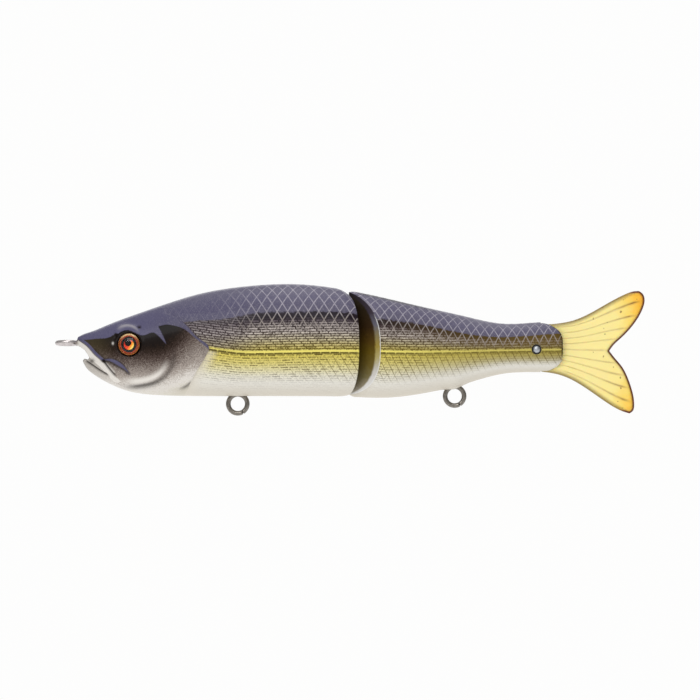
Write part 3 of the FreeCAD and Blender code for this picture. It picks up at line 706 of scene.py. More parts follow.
def carve(mesh, cutters, materials):
    """The mesh with every cutter taken out of it."""
    base = solid(mesh.name + "_raw", mesh)
    for material in materials:
        mesh.materials.append(material)
    for cutter in cutters:
        for material in materials:
            cutter.data.materials.append(material)
        cut = base.modifiers.new("cut", "BOOLEAN")
        cut.operation = "DIFFERENCE"
        cut.solver = "MANIFOLD"
        cut.object = cutter
    depsgraph = bpy.context.evaluated_depsgraph_get()
    result = bpy.data.meshes.new_from_object(base.evaluated_get(depsgraph))
    for item in [base] + cutters:
        bpy.data.objects.remove(item)
    return result


def mirrored(mesh, name):
    """The other side's half."""
    other = mesh.copy()
    other.name = name
    other.transform(Matrix.Diagonal((1, -1, 1, 1)))
    other.flip_normals()
    return other


# ------------------------------------------------------------------ node materials


def paint(code):
    """A linear colour from a hex code."""
    values = [int(code[k : k + 2], 16) / 255 for k in (0, 2, 4)]
    return tuple(v / 12.92 if v <= 0.04045 else ((v + 0.055) / 1.055) ** 2.4 for v in values) + (1.0,)


class Nodes:
    """Short names for building one material out of nodes."""

    def __init__(self, name):
        self.material = bpy.data.materials.new(name)
        self.material.use_nodes = True
        self.tree = self.material.node_tree
        self.shader = self.tree.nodes["Principled BSDF"]

    def put(self, socket, value):
        """Links a socket to a node's output, or gives it a constant."""
        if isinstance(value, bpy.types.NodeSocket):
            self.tree.links.new(value, socket)
        else:
            socket.default_value = value

    def math(self, operation, *values, clamp=False):
        node = self.tree.nodes.new("ShaderNodeMath")
        node.operation = operation
        node.use_clamp = clamp
        for socket, value in zip(node.inputs, values):
            self.put(socket, value)
        return node.outputs[0]

    def field(self, name):
        node = self.tree.nodes.new("ShaderNodeAttribute")
        node.attribute_name = name
        return node.outputs["Fac"]

    def place(self):
        return self.tree.nodes.new("ShaderNodeTexCoord").outputs["Object"]

    def rise(self, low, high, value):
        """0 at low and 1 at high, smooth between; low may be the larger."""
        node = self.tree.nodes.new("ShaderNodeMapRange")
        node.interpolation_type = "SMOOTHSTEP"
        if isinstance(low, float) and low > high:
            self.put(node.inputs["From Min"], high)
            self.put(node.inputs["From Max"], low)
            self.put(node.inputs["To Min"], 1.0)
            self.put(node.inputs["To Max"], 0.0)
        else:
            self.put(node.inputs["From Min"], low)
            self.put(node.inputs["From Max"], high)
        self.put(node.inputs["Value"], value)
        return node.outputs["Result"]

    def ramp(self, value, low, high, stops):
        """Colours at places between low and high."""
        share = self.math("DIVIDE", self.minus(value, low), high - low, clamp=True)
        node = self.tree.nodes.new("ShaderNodeValToRGB")
        elements = node.color_ramp.elements
        while len(elements) < len(stops):
            elements.new(0.5)
        for element, (at, code) in zip(elements, sorted(stops)):
            element.position = (at - low) / (high - low)
            element.color = paint(code)
        self.put(node.inputs[0], share)
        return node.outputs[0]

    def mix(self, part, a, b):
        """Colour a where part is 0 and b where it is 1."""
        node = self.tree.nodes.new("ShaderNodeMix")
        node.data_type = "RGBA"
        self.put(node.inputs[0], part)
        self.put(node.inputs[6], paint(a) if isinstance(a, str) else a)
        self.put(node.inputs[7], paint(b) if isinstance(b, str) else b)
        return node.outputs[2]

    def distance(self, right, up, right_0, up_0):
        """How far a point of a flat face is from another."""
        across, rise = self.minus(right, right_0), self.minus(up, up_0)
        return self.math("SQRT", self.plus(self.square(across), self.square(rise)))

    def times(self, first, *others, clamp=False):
        for other in others[:-1]:
            first = self.math("MULTIPLY", first, other)
        return self.math("MULTIPLY", first, others[-1], clamp=clamp)

    def plus(self, a, b, clamp=False):
        return self.math("ADD", a, b, clamp=clamp)

    def minus(self, a, b):
        return self.math("SUBTRACT", a, b)

    def scaled(self, value, factor, offset):
        return self.math("MULTIPLY_ADD", value, factor, offset)

    def size_of(self, value):
        return self.math("ABSOLUTE", value)

    def square(self, value):
        return self.times(value, value)

    def noise(self, size, detail=2.0, stretch=(1, 1, 1)):
        """Even noise whose lumps are about size millimetres across."""
        scale = self.tree.nodes.new("ShaderNodeMapping")
        scale.inputs["Scale"].default_value = [s / (size * MM) for s in stretch]
        self.put(scale.inputs["Vector"], self.place())
        node = self.tree.nodes.new("ShaderNodeTexNoise")
        node.inputs["Scale"].default_value = 1.0
        node.inputs["Detail"].default_value = detail
        self.put(node.inputs["Vector"], scale.outputs[0])
        return node.outputs["Fac"]

    def jitter(self, size, detail, reach):
        """Noise about 0, half of reach to each side."""
        return self.times(self.minus(self.noise(size, detail), 0.5), reach)

    def from_middle(self):
        """Millimetres from the fish's middle plane."""
        parts = self.tree.nodes.new("ShaderNodeSeparateXYZ")
        self.put(parts.inputs[0], self.place())
        return self.times(self.size_of(parts.outputs["Y"]), 1 / MM)

    def chance(self, a, b):
        """A random share for each pair of whole numbers."""
        pair = self.tree.nodes.new("ShaderNodeCombineXYZ")
        self.put(pair.inputs[0], a)
        self.put(pair.inputs[1], b)
        node = self.tree.nodes.new("ShaderNodeTexWhiteNoise")
        node.noise_dimensions = "2D"
        self.put(node.inputs["Vector"], pair.outputs[0])
        return node.outputs["Value"]

    def bump(self, height, distance, strength=1.0):
        node = self.tree.nodes.new("ShaderNodeBump")
        node.inputs["Strength"].default_value = strength
        node.inputs["Distance"].default_value = distance * MM
        self.put(node.inputs["Height"], height)
        self.put(self.shader.inputs["Normal"], node.outputs[0])

    def finish(self, **values):
        for name, value in values.items():
            self.put(self.shader.inputs[name.replace("_", " ")], value)
        return self.material


def line_of(n, turns, width):
    """1 on each whole turn and 0 between, with lines of the given half width in turns."""
    off = n.size_of(n.minus(turns, n.math("ROUND", turns)))
    return n.rise(width, width * 0.35, off)


def back_paint(n):
    """The back's mottled grey and lilac, with fine light dots, darker over the gills."""
    back = n.ramp(n.field("level"), 0.9, 2.2, [
        (0.9, "58535f"), (1.1, "5c5867"), (1.35, "615d70"), (1.7, "6d6a79"), (2.2, "888590"),
    ])
    back = n.mix(n.times(n.rise(76.0, 46.0, n.field("along")), 0.5), back, "43405a")
    mottled = n.mix(n.times(n.noise(1.6, 2.0), 0.5), back, "4a4664")
    return n.mix(n.times(n.rise(0.52, 0.72, n.noise(0.32, 1.0)), 0.35), mottled, "918e9a")


def scale_rows(n):
    """Rows of short scales: light dashes on dark above the lateral line, dark on light below it."""
    level, row, along = n.field("level"), n.field("row"), n.field("along")
    number = n.math("FLOOR", row)
    across = n.math("FRACT", row)
    band = n.times(n.rise(0.06, 0.45, across), n.rise(0.94, 0.55, across))
    places = n.plus(n.math("DIVIDE", along, 2.95), n.times(number, 0.27))
    gap = line_of(n, places, 0.10)
    dash = n.times(band, n.minus(1.0, gap))
    own = n.scaled(n.chance(n.math("FLOOR", places), number), 0.55, 0.5)
    dash = n.times(dash, own)
    broken = n.mix(n.rise(0.06, -0.02, level), dash, n.minus(1.0, n.square(dash)))
    grain = n.scaled(n.noise(0.42, 3.0), 2.0, -1.0)
    return n.plus(n.scaled(broken, 0.9, 0.04), grain, clamp=True), gap


def scale_paint(n):
    """The body's colours behind the gills, from the back down to the belly."""
    level, row, along, behind = n.field("level"), n.field("row"), n.field("along"), n.field("behind")
    across, down = n.field("net_across"), n.field("net_down")
    slant, counter = n.plus(across, down), n.minus(across, down)
    net = n.math("MAXIMUM", line_of(n, slant, 0.085), line_of(n, counter, 0.085))

    low, high = -1.0, 2.2
    light = n.ramp(level, low, high, [
        (-1.0, "c8c1b3"), (-0.7, "d8d5cc"), (-0.55, "dad6c4"), (-0.4, "d8d0a0"), (-0.25, "d3c676"),
        (-0.1, "cebe5c"), (0.02, "d4c76a"), (0.12, "cdbd74"), (0.3, "c6bb98"), (0.5, "c6bcb4"),
        (0.66, "a89e9a"), (0.78, "564a52"), (0.85, "221926"), (2.2, "1c1420"),
    ])
    deep = n.ramp(level, low, high, [
        (-1.0, "c3bbad"), (-0.7, "c6c2ba"), (-0.55, "8c867a"), (-0.4, "6e6442"), (-0.25, "574a1c"),
        (-0.1, "48390c"), (0.02, "54450e"), (0.12, "5c4f22"), (0.3, "4b4030"), (0.5, "3c322e"),
        (0.66, "281f22"), (0.78, "1a1016"), (0.86, "140b14"), (2.2, "140b14"),
    ])
    rows, gap = scale_rows(n)
    softer = n.times(n.rise(90.0, 125.0, along), n.rise(0.0, -0.1, level), 0.5)
    rows = n.scaled(n.minus(0.85, rows), softer, rows)
    side = n.mix(rows, deep, light)

    cross = n.times(n.rise(-0.02, -0.12, level), n.rise(-0.8, -0.4, level))
    reach = n.scaled(n.rise(60.0, 98.0, along), 0.6, 0.14)
    falling = line_of(n, n.times(slant, 1.25), 0.09)
    rising = n.times(line_of(n, n.times(counter, 1.25), 0.07), 0.4)
    hatch = n.times(n.math("MAXIMUM", falling, rising), n.times(cross, reach))
    side = n.mix(hatch, side, "5f5126")
    rearward = n.times(n.rise(84.0, 156.0, along), n.rise(-0.75, -0.3, level))
    upper = n.scaled(n.rise(0.1, 0.4, level), 0.28, 0.52)
    side = n.mix(n.times(rearward, upper), side, "604c1a")

    beside_gill = n.times(n.rise(4.0, 0.3, behind), n.rise(0.0, -0.1, level))
    side = n.mix(n.times(beside_gill, 0.6), side, "cfc8bb")
    above_gill = n.times(n.rise(64.0, 46.0, along), n.rise(0.0, 0.1, level))
    side = n.mix(n.times(above_gill, 0.7), side, n.mix(rows, "30262a", "8f8688"))

    started = n.rise(43.0, 62.0, along)
    thinned = n.times(started, n.scaled(n.rise(88.0, 128.0, along), -0.55, 1.0))
    on_line = n.rise(n.scaled(thinned, 0.2, 0.34), 0.2, n.size_of(row))
    under = n.rise(0.55, 0.15, n.size_of(n.plus(row, 0.88)))
    side = n.mix(n.times(on_line, thinned, 0.9), side, "e8da70")
    faint = n.scaled(n.rise(88.0, 128.0, along), -0.5, 1.0)
    side = n.mix(n.times(under, faint, n.scaled(gap, -0.4, 0.85)), side, "3f340c")

    edge = n.plus(level, n.jitter(0.9, 2.0, 0.12))
    colour = n.mix(n.rise(0.96, 1.02, edge), side, back_paint(n))

    fade_in = n.scaled(n.rise(44.0, 68.0, along), 0.85, 0.1)
    lowest = n.scaled(n.rise(96.0, 130.0, along), -0.28, 0.36)
    fade = n.times(n.rise(lowest, 0.7, level), n.rise(2.3, 1.5, level))
    patchy = n.times(n.noise(1.0, 2.0), 1.4)
    strength = n.times(n.times(fade, fade_in), n.times(net, patchy), clamp=True)
    thread = n.mix(n.rise(1.1, 0.8, level), "a5a0aa", "9a908a")
    colour = n.mix(strength, colour, thread)
    ridge = n.times(n.rise(3.8, 2.6, n.from_middle()), n.rise(1.1, 1.4, level))
    stretch = n.times(n.rise(91.0, 94.0, along), n.rise(120.0, 108.0, along))
    colour = n.mix(n.times(ridge, stretch, 0.8), colour, "2a2630")
    # Painted shade over the rear section's end beside the tail, with a ragged edge.
    end_shade = n.plus(n.field("to_end"), n.jitter(0.8, 2.0, 0.9))
    return n.mix(n.times(n.rise(0.5, 0.1, end_shade), n.rise(-0.5, -0.1, level)), colour, "2c2010")


def head_paint(n):
    """The head's colours: dark cheeks that fade to a white throat, and a lilac cap."""
    shade, along = n.field("shade"), n.field("along")
    drift = n.jitter(1.4, 3.0, 1.6)
    speck = n.jitter(0.34, 2.0, 9.0)
    blurred = n.plus(n.plus(shade, drift), speck)
    cheek = n.ramp(blurred, -17.0, 4.0, [
        (-17.0, "c6c0b2"), (-14.6, "d8d3cd"), (-12.6, "beb7af"), (-10.6, "9d938b"), (-8.6, "847a73"),
        (-6.4, "5e524c"), (-4.4, "3f322d"), (-2.4, "23170f"), (-0.4, "130a07"), (3.0, "0c0605"),
    ])
    cap = n.plus(n.field("cap"), n.jitter(0.5, 1.0, 0.25))
    lilac = n.mix(n.noise(0.5, 3.0), "46435f", "625f78")
    lilac = n.mix(n.rise(20.0, 38.0, along), lilac, back_paint(n))
    olive = n.mix(n.times(n.rise(17.0, 8.0, along), 0.4), cheek, "4f4730")
    colour = n.mix(n.rise(-0.12, 0.22, cap), olive, lilac)
    # Pale paint with painted highlights, then painted shade in creases, socket and pores, and a few dark
    # lines.
    colour = n.mix(n.field("pale"), colour, "dcd7d0")
    return n.mix(n.field("dark"), colour, "1a110e")


def skin_paint():
    """Painted and clear-coated skin, head and body in one."""
    n = Nodes("painted_skin")
    head = n.rise(0.12, -0.08, n.field("behind"))
    colour = n.mix(head, scale_paint(n), head_paint(n))
    n.bump(n.noise(0.45, 2.0), 0.02, 0.35)
    return n.finish(
        Base_Color=colour, Roughness=0.38, Specular_IOR_Level=0.09, Coat_Weight=0.05, Coat_Roughness=0.1
    )


def joint_paint():
    """The faces of the V joint, sprayed olive and gold over brown, with a paler border that turns near white
    at its lower edge.
    """
    n = Nodes("joint_faces")
    spray = n.jitter(1.0, 3.0, 3.0)
    height = n.plus(n.field("height"), spray)
    inner = n.ramp(height, -17.0, 17.0, [
        (-17.0, "c4bfb4"), (-14.5, "958c78"), (-11.0, "746b47"), (-7.5, "685928"), (-3.0, "5e4c12"),
        (0.5, "4f3a10"), (5.0, "33220f"), (11.0, "292012"), (16.0, "35302a"),
    ])
    outer = n.ramp(height, -17.0, 17.0, [
        (-17.0, "dedcd8"), (-11.0, "cdcac6"), (-8.0, "bab6aa"), (-5.0, "aa9e68"), (-1.0, "97833a"),
        (2.5, "7e7250"), (6.0, "605e6a"), (10.0, "3a323c"), (16.0, "2c262a"),
    ])
    wobble = n.jitter(1.0, 3.0, 0.14)
    border = n.plus(n.field("border"), wobble)
    colour = n.mix(n.rise(0.42, 0.60, border), inner, outer)
    # A near white line along the border's very edge, below the top.
    whitest_edge = n.times(n.rise(0.85, 0.92, border), n.rise(10.0, 7.0, height))
    colour = n.mix(n.times(whitest_edge, 0.8), colour, "dcdcda")
    n.bump(n.noise(0.5, 2.0), 0.03, 0.5)
    return n.finish(Base_Color=colour, Roughness=0.5, Specular_IOR_Level=0.15)


def mouth_shade_paint():
    """Painted shade for the inside of the mouth and of the pin's recess, in dark mottled colour."""
    n = Nodes("mouth_recess_shade")
    colour = n.mix(n.noise(0.8, 2.0), "2a2421", "57504b")
    return n.finish(Base_Color=colour, Roughness=0.6)


def wire_metal():
    """Dark nickel wire, drawn along its length and a little stained."""
    n = Nodes("nickel_wire")
    colour = n.mix(n.noise(0.7, 4.0), "4b463f", "9b958d")
    n.bump(n.noise(0.25, 2.0, (1, 3, 3)), 0.02, 0.4)
    rough = n.scaled(n.noise(0.5, 2.0), 0.25, 0.2)
    return n.finish(Base_Color=colour, Metallic=1.0, Roughness=rough)


def bright_metal(name, dull, bright, roughness):
    """A metal that is mottled between two colours."""
    n = Nodes(name)
    colour = n.mix(n.noise(0.6, 3.0), dull, bright)
    n.bump(n.noise(0.2, 2.0), 0.015, 0.4)
    rough = n.scaled(n.noise(0.4, 2.0), 0.2, roughness)
    return n.finish(Base_Color=colour, Metallic=1.0, Roughness=rough)


def iris_paint():
    """A plain pupil with a flame-coloured crescent in it, inside a thin orange iris and a dark rim."""
    n = Nodes("eye_iris")
    right, up = n.field("eye_right"), n.field("eye_up")
    away = n.distance(right, up, 0.0, 0.0)
    ray = n.jitter(0.5, 3.0, 0.2)
    ring = n.ramp(n.plus(away, ray), 0.0, 3.6, [
        (0.0, "050303"), (2.35, "070404"), (2.52, "8c2c10"), (2.72, "ae4418"), (2.86, "4a200e"),
        (3.0, "8a481c"), (3.25, "94582a"), (3.42, "7c4c26"), (3.6, "2c1c12"),
    ])
    glow = n.rise(1.62, 1.46, n.distance(right, up, 0.0, -0.05))
    hole = n.rise(1.1, 0.95, n.distance(right, up, -0.24, 0.5))
    flame = n.ramp(n.plus(right, n.times(up, -0.6)), -1.6, 2.0, [
        (-1.6, "c02408"), (0.2, "dc3810"), (1.0, "ec9428"), (1.7, "fae070"),
    ])
    colour = n.mix(n.times(glow, n.minus(1.0, hole)), ring, flame)
    # Painted highlight along the top of the iris ring.
    colour = n.mix(n.times(n.rise(1.4, 2.9, up), n.rise(2.75, 2.95, away)), colour, "c9a878")
    return n.finish(Base_Color=colour, Roughness=0.3, Specular_IOR_Level=0.05)


def lens_resin():
    """Clear cast resin, faintly uneven."""
    n = Nodes("clear_resin")
    rough = n.scaled(n.noise(3.0, 1.0), 0.02, 0.01)
    return n.finish(Base_Color=(1.0, 1.0, 1.0, 1.0), Roughness=rough, IOR=1.3, Transmission_Weight=1.0)


def tail_plastic():
    """Clear yellow soft plastic: golden tips, brown rays, olive outer edges and a red-brown trailing rim."""
    n = Nodes("soft_tail")
    tip, rim, ray, outer = n.field("tip"), n.field("rim"), n.field("ray"), n.field("outer")
    cloud = n.jitter(3.0, 3.0, 0.25)
    colour = n.ramp(n.plus(tip, cloud), 0.0, 1.0, [
        (0.0, "efe29a"), (0.35, "efe092"), (0.6, "efd46c"), (0.8, "efbe40"), (1.0, "eaa024"),
    ])
    grown = n.scaled(tip, 0.75, 0.25)
    streak = n.times(ray, n.times(n.scaled(n.noise(2.4, 2.0), 1.0, 0.4), grown), clamp=True)
    colour = n.mix(streak, colour, "7c4c0e")
    colour = n.mix(n.times(outer, 0.9), colour, "6e5618")
    colour = n.mix(rim, colour, "561c04")
    speck = n.rise(0.79, 0.83, n.noise(1.1, 0.0))
    colour = n.mix(n.times(speck, 0.7), colour, "6b4a1c")
    n.bump(n.noise(1.2, 2.0), 0.03, 0.4)
    n.shader.inputs["Subsurface Radius"].default_value = (0.004, 0.0028, 0.0012)
    return n.finish(
        Base_Color=colour, Roughness=0.34, Specular_IOR_Level=0.3,
        Subsurface_Weight=0.45, Subsurface_Scale=0.5,
    )


def studio_floor():
    """A pale floor that glows a little, so that it meets the backdrop without an edge."""
    n = Nodes("studio_floor")
    colour = n.mix(n.noise(400.0, 1.0), "bababa", "bebebc")
    return n.finish(Base_Color=colour, Roughness=0.9, Emission_Color=paint("ffffff"), Emission_Strength=0.74)


# ------------------------------------------------------------------ pieces


def middle_of(node):
    """The middle of a CAD piece, in millimetres."""
    low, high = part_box(node)
    return (low + high) / 2 / MM


def make_front_shells(materials):
    # The mouth's cut faces get the dark painted-shade material.
    mesh = carve(front_half(), [prism("mouth_cut", MOUTH_OPENING, MOUTH_DEPTH, MOUTH)], materials)
    object_pair("front_shell", mesh, "front_section", materials)


def make_rear_shells(materials):
    """The rear halves, with slots for the hinge's eyes, a recess for the pin's head and the tail's slot."""
    pin = middle_of("tail_pin")
    recess = (pin.x, PIN_RECESS_MIDDLE, pin.z)
    cutters = [
        drum(node + "_slot", (HINGE_X, 0, middle_of(node).z), HINGE_SLOT_RADIUS, HINGE_SLOT_HEIGHT, "Z", FACE)
        for node in ("hinge_eye_upper", "hinge_eye_lower")
    ]
    # The recess's walls get the same dark painted-shade material.
    cutters.append(drum("pin_recess", recess, PIN_RECESS_RADIUS, PIN_RECESS_DEPTH, "Y", MOUTH))
    cutters.append(prism("tail_slot", TAIL_SLOT, TAIL_SLOT_HALF, FACE))
    mesh = carve(rear_half(), cutters, materials)
    object_pair("rear_shell", mesh, "rear_section", materials)


def object_pair(name, mesh, body, materials):
    """The left piece and its mirror image, each standing for its own CAD shell."""
    right = mirrored(mesh, name + "_right_skin")
    for side, half in (("left", mesh), ("right", right)):
        piece = object_of("%s_%s_skin" % (name, side), half, body, materials)
        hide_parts("%s_%s" % (name, side))


def tube(name, path, radius, sides=20):
    """A closed tube along a path of points, with rounded ends."""
    path = np.asarray(path, float)
    tangent = np.gradient(path, axis=0)
    tangent /= np.linalg.norm(tangent, axis=1, keepdims=True)
    side = np.cross(tangent[0], (0.3, 0.9, 0.2))
    rings = []
    for t in tangent:
        side = side - t * (side @ t)
        side /= np.linalg.norm(side)
        other = np.cross(t, side)
        turn = np.linspace(0, 2 * pi, sides, endpoint=False)[:, None]
        rings.append(np.cos(turn) * side + np.sin(turn) * other)
    first, last_out = -tangent[0] * radius * 0.35, tangent[-1] * radius * 0.35
    points = [path[0] + first]
    for share in (0.5, 0.85):
        points += list(path[0] + first * sqrt(1 - share**2) + rings[0] * radius * share)
    for centre, ring in zip(path, rings):
        points += list(centre + ring * radius)
    for share in (0.85, 0.5):
        points += list(path[-1] + last_out * sqrt(1 - share**2) + rings[-1] * radius * share)
    points.append(path[-1] + last_out)
    count = len(path) + 4
    faces = []
    for i in range(count - 1):
        for k in range(sides):
            a, b = 1 + i * sides + k, 1 + i * sides + (k + 1) % sides
            faces.append((a, b, b + sides, a + sides))
    last = len(points) - 1
    for k in range(sides):
        faces.append((0, 1 + (k + 1) % sides, 1 + k))
        faces.append((last, last - sides + k, last - sides + (k + 1) % sides))
    mesh = bpy.data.meshes.new(name)
    mesh.from_pydata([tuple(v * MM for v in p) for p in points], [], faces)
    mesh.polygons.foreach_set("use_smooth", np.ones(len(mesh.polygons), bool))
    mesh.update()
    return mesh


def make_wire_eye(node, body, centre, ring_axes, start, metal):
    """A wire ring that runs from start, in degrees, almost all the way round."""
    u, w = (np.array(axis, float) for axis in ring_axes)
    turn = np.radians(np.linspace(start, start + RING_SWEEP, 90))[:, None]
    ring = np.array(centre) + RING_RADIUS * (np.cos(turn) * u + np.sin(turn) * w)
    mesh = tube(node + "_wire", ring, WIRE_RADIUS)
    piece = object_of(node + "_wire", mesh, body, [metal])
    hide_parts(node)


def twisted_stem(name, start, end, body, metal):
    """The two strands of wire that run from a ring into the shell."""
    start, end = np.array(start, float), np.array(end, float)
    along = (end - start) / np.linalg.norm(end - start)
    side = np.cross(along, (0.0, 1.0, 0.0))
    other = np.cross(along, side)
    for strand in (0, 1):
        t = np.linspace(0, 1, 30)[:, None]
        turn = pi * (t * 0.9 + strand)
        path = start + (end - start) * t + STRAND_OFFSET * (np.cos(turn) * side + np.sin(turn) * other)
        mesh = tube("%s_%d" % (name, strand), path, STRAND_RADIUS)
        object_of("%s_%d" % (name, strand), mesh, body, [metal])


def disc_mesh(name, floor, outward, flat, radius, rim, rise):
    """A closed disc with a domed top, and how far each of its points is from the middle."""
    up = np.array([0.0, 0.0, 1.0])
    around_count, ring_count = 96, 24
    profile = [(0.0, 0.0), (radius, 0.0), (radius, rim)]
    ball = (radius**2 + rise**2) / (2 * rise) if rise else None
    for k in range(1, ring_count + 1):
        r = radius * (1 - k / ring_count)
        top = rim + (sqrt(ball**2 - r**2) - (ball - rise) if rise else 0.0)
        profile.append((r, top))
    turn = np.linspace(0, 2 * pi, around_count, endpoint=False)
    r, height = (np.array(profile)[:, k, None] for k in (0, 1))
    right, above = r * np.cos(turn), r * np.sin(turn)
    points = floor + height[..., None] * outward + right[..., None] * flat + above[..., None] * up
    faces = []
    for i in range(len(profile) - 1):
        for k in range(around_count):
            a, b = i * around_count + k, i * around_count + (k + 1) % around_count
            faces.append((a, b, b + around_count, a + around_count))
    mesh = mesh_of(name, points, np.array(faces), {"eye_right": right, "eye_up": above})
    for face in mesh.polygons[: 2 * around_count]:
        face.use_smooth = False
    weld(mesh, 1e-7, 1e-8)
    return mesh


def make_eye(side_name, side, iris, resin):
    """The printed disc and the clear dome over it."""
    outward = np.array([-sin(EYE_TILT), side * cos(EYE_TILT), 0])
    flat = np.array([cos(EYE_TILT), side * sin(EYE_TILT), 0])
    seat = np.array([EYE[0], side * EYE_DEPTH, EYE[1]])
    foil = disc_mesh("iris", seat + outward * FOIL_LIFT, outward, flat, FOIL_RADIUS, FOIL_THICKNESS, 0.0)
    piece = object_of("eye_%s_iris" % side_name, foil, "front_section", [iris])
    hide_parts("eye_foil_" + side_name)
    lens = disc_mesh("lens", seat + outward * LENS_LIFT, outward, flat, LENS_RADIUS, LENS_RIM, LENS_RISE)
    piece = object_of("eye_%s_dome" % side_name, lens, "front_section", [resin])
    piece.visible_shadow = False
    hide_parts("eye_lens_" + side_name)


# ------------------------------------------------------------------ the tail

TAIL_TOP = [
    (150.3, 5.9), (155.2, 6.2), (161.0, 7.4), (169.0, 11.3), (176.9, 15.5), (179.6, 16.4), (181.2, 16.5),
]
TAIL_FORK = (171.8, -2.5)
TAIL_UPPER_EDGE = [
    TAIL_FORK, (173.1, -0.7), (175.2, 1.3), (178.0, 4.1), (180.6, 7.5), (182.5, 11.2), (183.0, 13.6),
    (182.4, 15.6), (181.2, 16.5),
]
TAIL_LOWER_EDGE = [
    (178.2, -22.3), (179.2, -21.6), (179.7, -19.4), (178.9, -14.6), (177.6, -10.9), (175.9, -7.6),
    (173.6, -4.8), TAIL_FORK,
]
TAIL_BELLY = [(150.3, -9.1), (155.7, -10.0), (163.3, -13.6), (171.8, -19.4), (176.2, -21.7), (178.2, -22.3)]
TAIL_COLUMNS, TAIL_ROWS = 150, 260
TAIL_ROOT_HALF, TAIL_TIP_HALF = 1.38, 0.55
TAIL_EDGE_ROUND = 1.1
RAYS = (0.09, 0.19, 0.285, 0.385, 0.5, 0.6, 0.705, 0.81, 0.915)


def tail_sheet(columns, rows):
    """Places over the tail's side view: columns run from its root to its edge, rows from bottom to top."""
    top, bottom = through(TAIL_TOP, columns), through(TAIL_BELLY, columns)
    trail = np.vstack([through(TAIL_LOWER_EDGE, rows // 2), through(TAIL_UPPER_EDGE, rows // 2 + 1)[1:]])
    root = np.stack([np.full(rows, TAIL_TOP[0][0]), np.linspace(bottom[0, 1], top[0, 1], rows)], axis=1)
    u = np.linspace(0, 1, columns)[None, :, None]
    v = np.linspace(0, 1, rows)[:, None, None]
    across = root[:, None] * (1 - u) + trail[:, None] * u
    along = bottom[None, :] * (1 - v) + top[None, :] * v
    corners = root[0] * (1 - u) * (1 - v) + trail[0] * u * (1 - v)
    corners = corners + root[-1] * (1 - u) * v + trail[-1] * u * v
    return across + along - corners, u[..., 0], v[..., 0]


def tail_rays(u, v):
    """1 along the middle of each ray of the tail and 0 between them."""
    reach = step_up(0.1, 0.3, u) * step_up(0.99, 0.88, u)
    width = 0.0085 + 0.004 * (1 - u)
    ray = np.zeros(np.broadcast(u, v).shape)
    for place in RAYS:
        ray = np.maximum(ray, hump(v - place, width) * reach)
    return ray


def tail_mesh():
    """The soft tail: thin, rounded along its edges and grooved along its rays."""
    flat, u, v = tail_sheet(TAIL_COLUMNS, TAIL_ROWS)
    x, z = flat[..., 0], flat[..., 1]
    gap = gap_to(np.vstack([flat[0], flat[:, -1], flat[-1, ::-1]]), x, z)
    bulge = np.clip(gap / TAIL_EDGE_ROUND, 0, 1)
    half = TAIL_ROOT_HALF + (TAIL_TIP_HALF - TAIL_ROOT_HALF) * step_up(152, 181, x)
    half = half * np.sqrt(1 - (1 - bulge) ** 2) + 0.001
    ray = tail_rays(u, v)
    grooved = half * (1 - 0.18 * ray)
    points = np.concatenate([np.stack([x, side * grooved, z], axis=-1).reshape(-1, 3) for side in (-1, 1)])
    faces = grid_faces(TAIL_ROWS, TAIL_COLUMNS)
    both = np.vstack([faces, faces[:, ::-1] + TAIL_ROWS * TAIL_COLUMNS])
    trailing = step_up(0.86, 0.94, u) * np.ones_like(v)
    fields = {
        "tip": step_up(14, 38, np.hypot(x - 152, (z + 2) * 0.8)),
        "rim": step_up(0.95, 0.3, gap) * trailing,
        "outer": step_up(1.7, 0.0, gap) * (1 - 0.6 * trailing),
        "ray": ray,
    }
    doubled = {name: np.tile(values.ravel(), 2) for name, values in fields.items()}
    mesh = mesh_of("tail_fin_soft", points, both, doubled)
    weld(mesh, 6e-6, 1e-7)
    return mesh


def make_tail(material):
    """The soft tail, which starts at the rear section's end."""
    mesh = tail_mesh()
    mesh.materials.append(material)
    piece = bpy.data.objects.new("tail_fin_soft", mesh)
    bpy.context.scene.collection.objects.link(piece)
    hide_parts("tail_fin")
    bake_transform(piece)


# ------------------------------------------------------------------ studio


def area_light(name, place, size, power):
    """A soft box that looks at the middle of the fish and isn't seen through the eyes' lenses."""
    light = bpy.data.lights.new(name, "AREA")
    light.shape = "RECTANGLE"
    light.size, light.size_y = size
    light.energy = power
    lamp = bpy.data.objects.new(name, light)
    bpy.context.scene.collection.objects.link(lamp)
    lamp.location = place
    lamp.visible_transmission = False
    lamp.rotation_mode = "QUATERNION"
    lamp.rotation_quaternion = (Vector(LIGHT_AIM) - Vector(place)).to_track_quat("-Z", "Y")


AMBIENT = 0.45
BACKDROP = 0.985
LIGHT_AIM = (0.09, 0, 0)
FLOOR_REACH, FLOOR_HEIGHT = 3.0, -0.35


def make_backdrop():
    """A white world, as bright behind the fish as the photo's paper and dimmer as a light."""
    world = bpy.data.worlds.new("studio")
    world.use_nodes = True
    tree = world.node_tree
    backdrop = tree.nodes["Background"]
    backdrop.inputs["Color"].default_value = (1.0, 1.0, 0.997, 1.0)
    seen = tree.nodes.new("ShaderNodeLightPath")
    level = tree.nodes.new("ShaderNodeMapRange")
    level.inputs["To Min"].default_value = AMBIENT
    level.inputs["To Max"].default_value = BACKDROP
    tree.links.new(seen.outputs["Is Camera Ray"], level.inputs["Value"])
    tree.links.new(level.outputs["Result"], backdrop.inputs["Strength"])
    bpy.context.scene.world = world


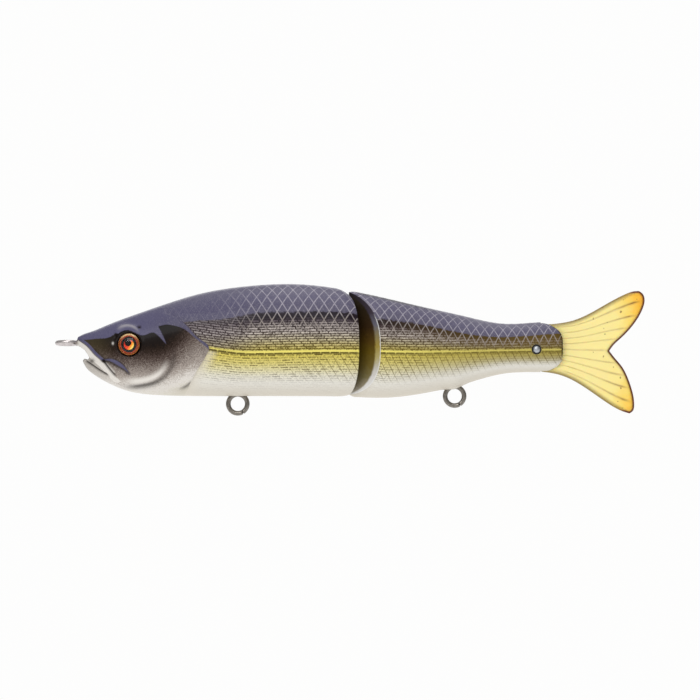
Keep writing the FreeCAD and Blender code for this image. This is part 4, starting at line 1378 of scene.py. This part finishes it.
def make_floor():
    mesh = bpy.data.meshes.new("floor")
    signs = ((-1, -1), (1, -1), (1, 1), (-1, 1))
    corners = [(x * FLOOR_REACH, y * FLOOR_REACH, FLOOR_HEIGHT) for x, y in signs]
    mesh.from_pydata(corners, [], [(0, 1, 2, 3)])
    mesh.materials.append(studio_floor())
    floor = bpy.data.objects.new("floor", mesh)
    bpy.context.scene.collection.objects.link(floor)


def make_studio():
    bpy.context.scene.view_settings.view_transform = "Standard"
    make_backdrop()
    make_floor()
    area_light("front", (-0.15, -0.95, 0.6), (0.9, 0.5), 6.0)
    area_light("overhead", (0.1, 0.0, 0.9), (1.0, 0.35), 3.0)
    area_light("back", (0.1, 0.95, 0.35), (0.9, 0.5), 2.0)


FRAME_WIDTH = 0.2218
VIEW_CENTRE = Vector((0.08965, 0, -0.0022))
VIEW_DISTANCE = 1.6


def make_camera():
    """A long lens square to the fish's left side."""
    data = bpy.data.cameras.new("camera")
    data.sensor_width = 36.0
    data.lens = VIEW_DISTANCE * data.sensor_width / FRAME_WIDTH
    data.clip_start, data.clip_end = 0.05, 30.0
    camera = bpy.data.objects.new("camera", data)
    bpy.context.scene.collection.objects.link(camera)
    camera.location = VIEW_CENTRE + Vector((0, -VIEW_DISTANCE, 0))
    camera.rotation_euler = (radians(90), 0, 0)
    bpy.context.scene.camera = camera


def dress(material, *nodes):
    """Gives CAD nodes that stay their better material."""
    for node in nodes:
        mesh = frame["nodes"][node].data
        mesh.materials.clear()
        mesh.materials.append(material)


def main():
    make_camera()
    make_studio()
    shell_materials = [skin_paint(), joint_paint(), mouth_shade_paint()]
    make_front_shells(shell_materials)
    make_rear_shells(shell_materials)
    wire = wire_metal()
    make_wire_eye("front_hook_eye", "front_section", FRONT_HOOK_RING, HOOK_RING_AXES, HOOK_RING_START, wire)
    make_wire_eye("rear_hook_eye", "rear_section", REAR_HOOK_RING, HOOK_RING_AXES, HOOK_RING_START, wire)
    tie = bright_metal("tie_wire", "857e7a", "e6dede", 0.25)
    make_wire_eye("line_tie", "front_section", (0, 0, 0), TIE_RING_AXES, TIE_RING_START, tie)
    twisted_stem("tie_stem", (2.9, 0, 0), (9.0, 0, 0), "front_section", tie)
    iris, resin = iris_paint(), lens_resin()
    make_eye("left", -1.0, iris, resin)
    make_eye("right", 1.0, iris, resin)
    make_tail(tail_plastic())
    steel = bright_metal("hinge_steel", "8c8c8a", "c8c8c6", 0.25)
    dress(steel, "hinge_pin", "hinge_eye_upper", "hinge_eye_lower")
    polished = bright_metal("pin_head_steel", "8c9096", "c2c6ca", 0.3)
    dress(polished, "tail_pin", "tail_pin_cap")
    weight = bright_metal("weight_alloy", "55565a", "7c7d82", 0.5)
    dress(weight, "ballast_fore", "ballast_aft", "ballast_rear")


main()
bpy.context.view_layer.update()
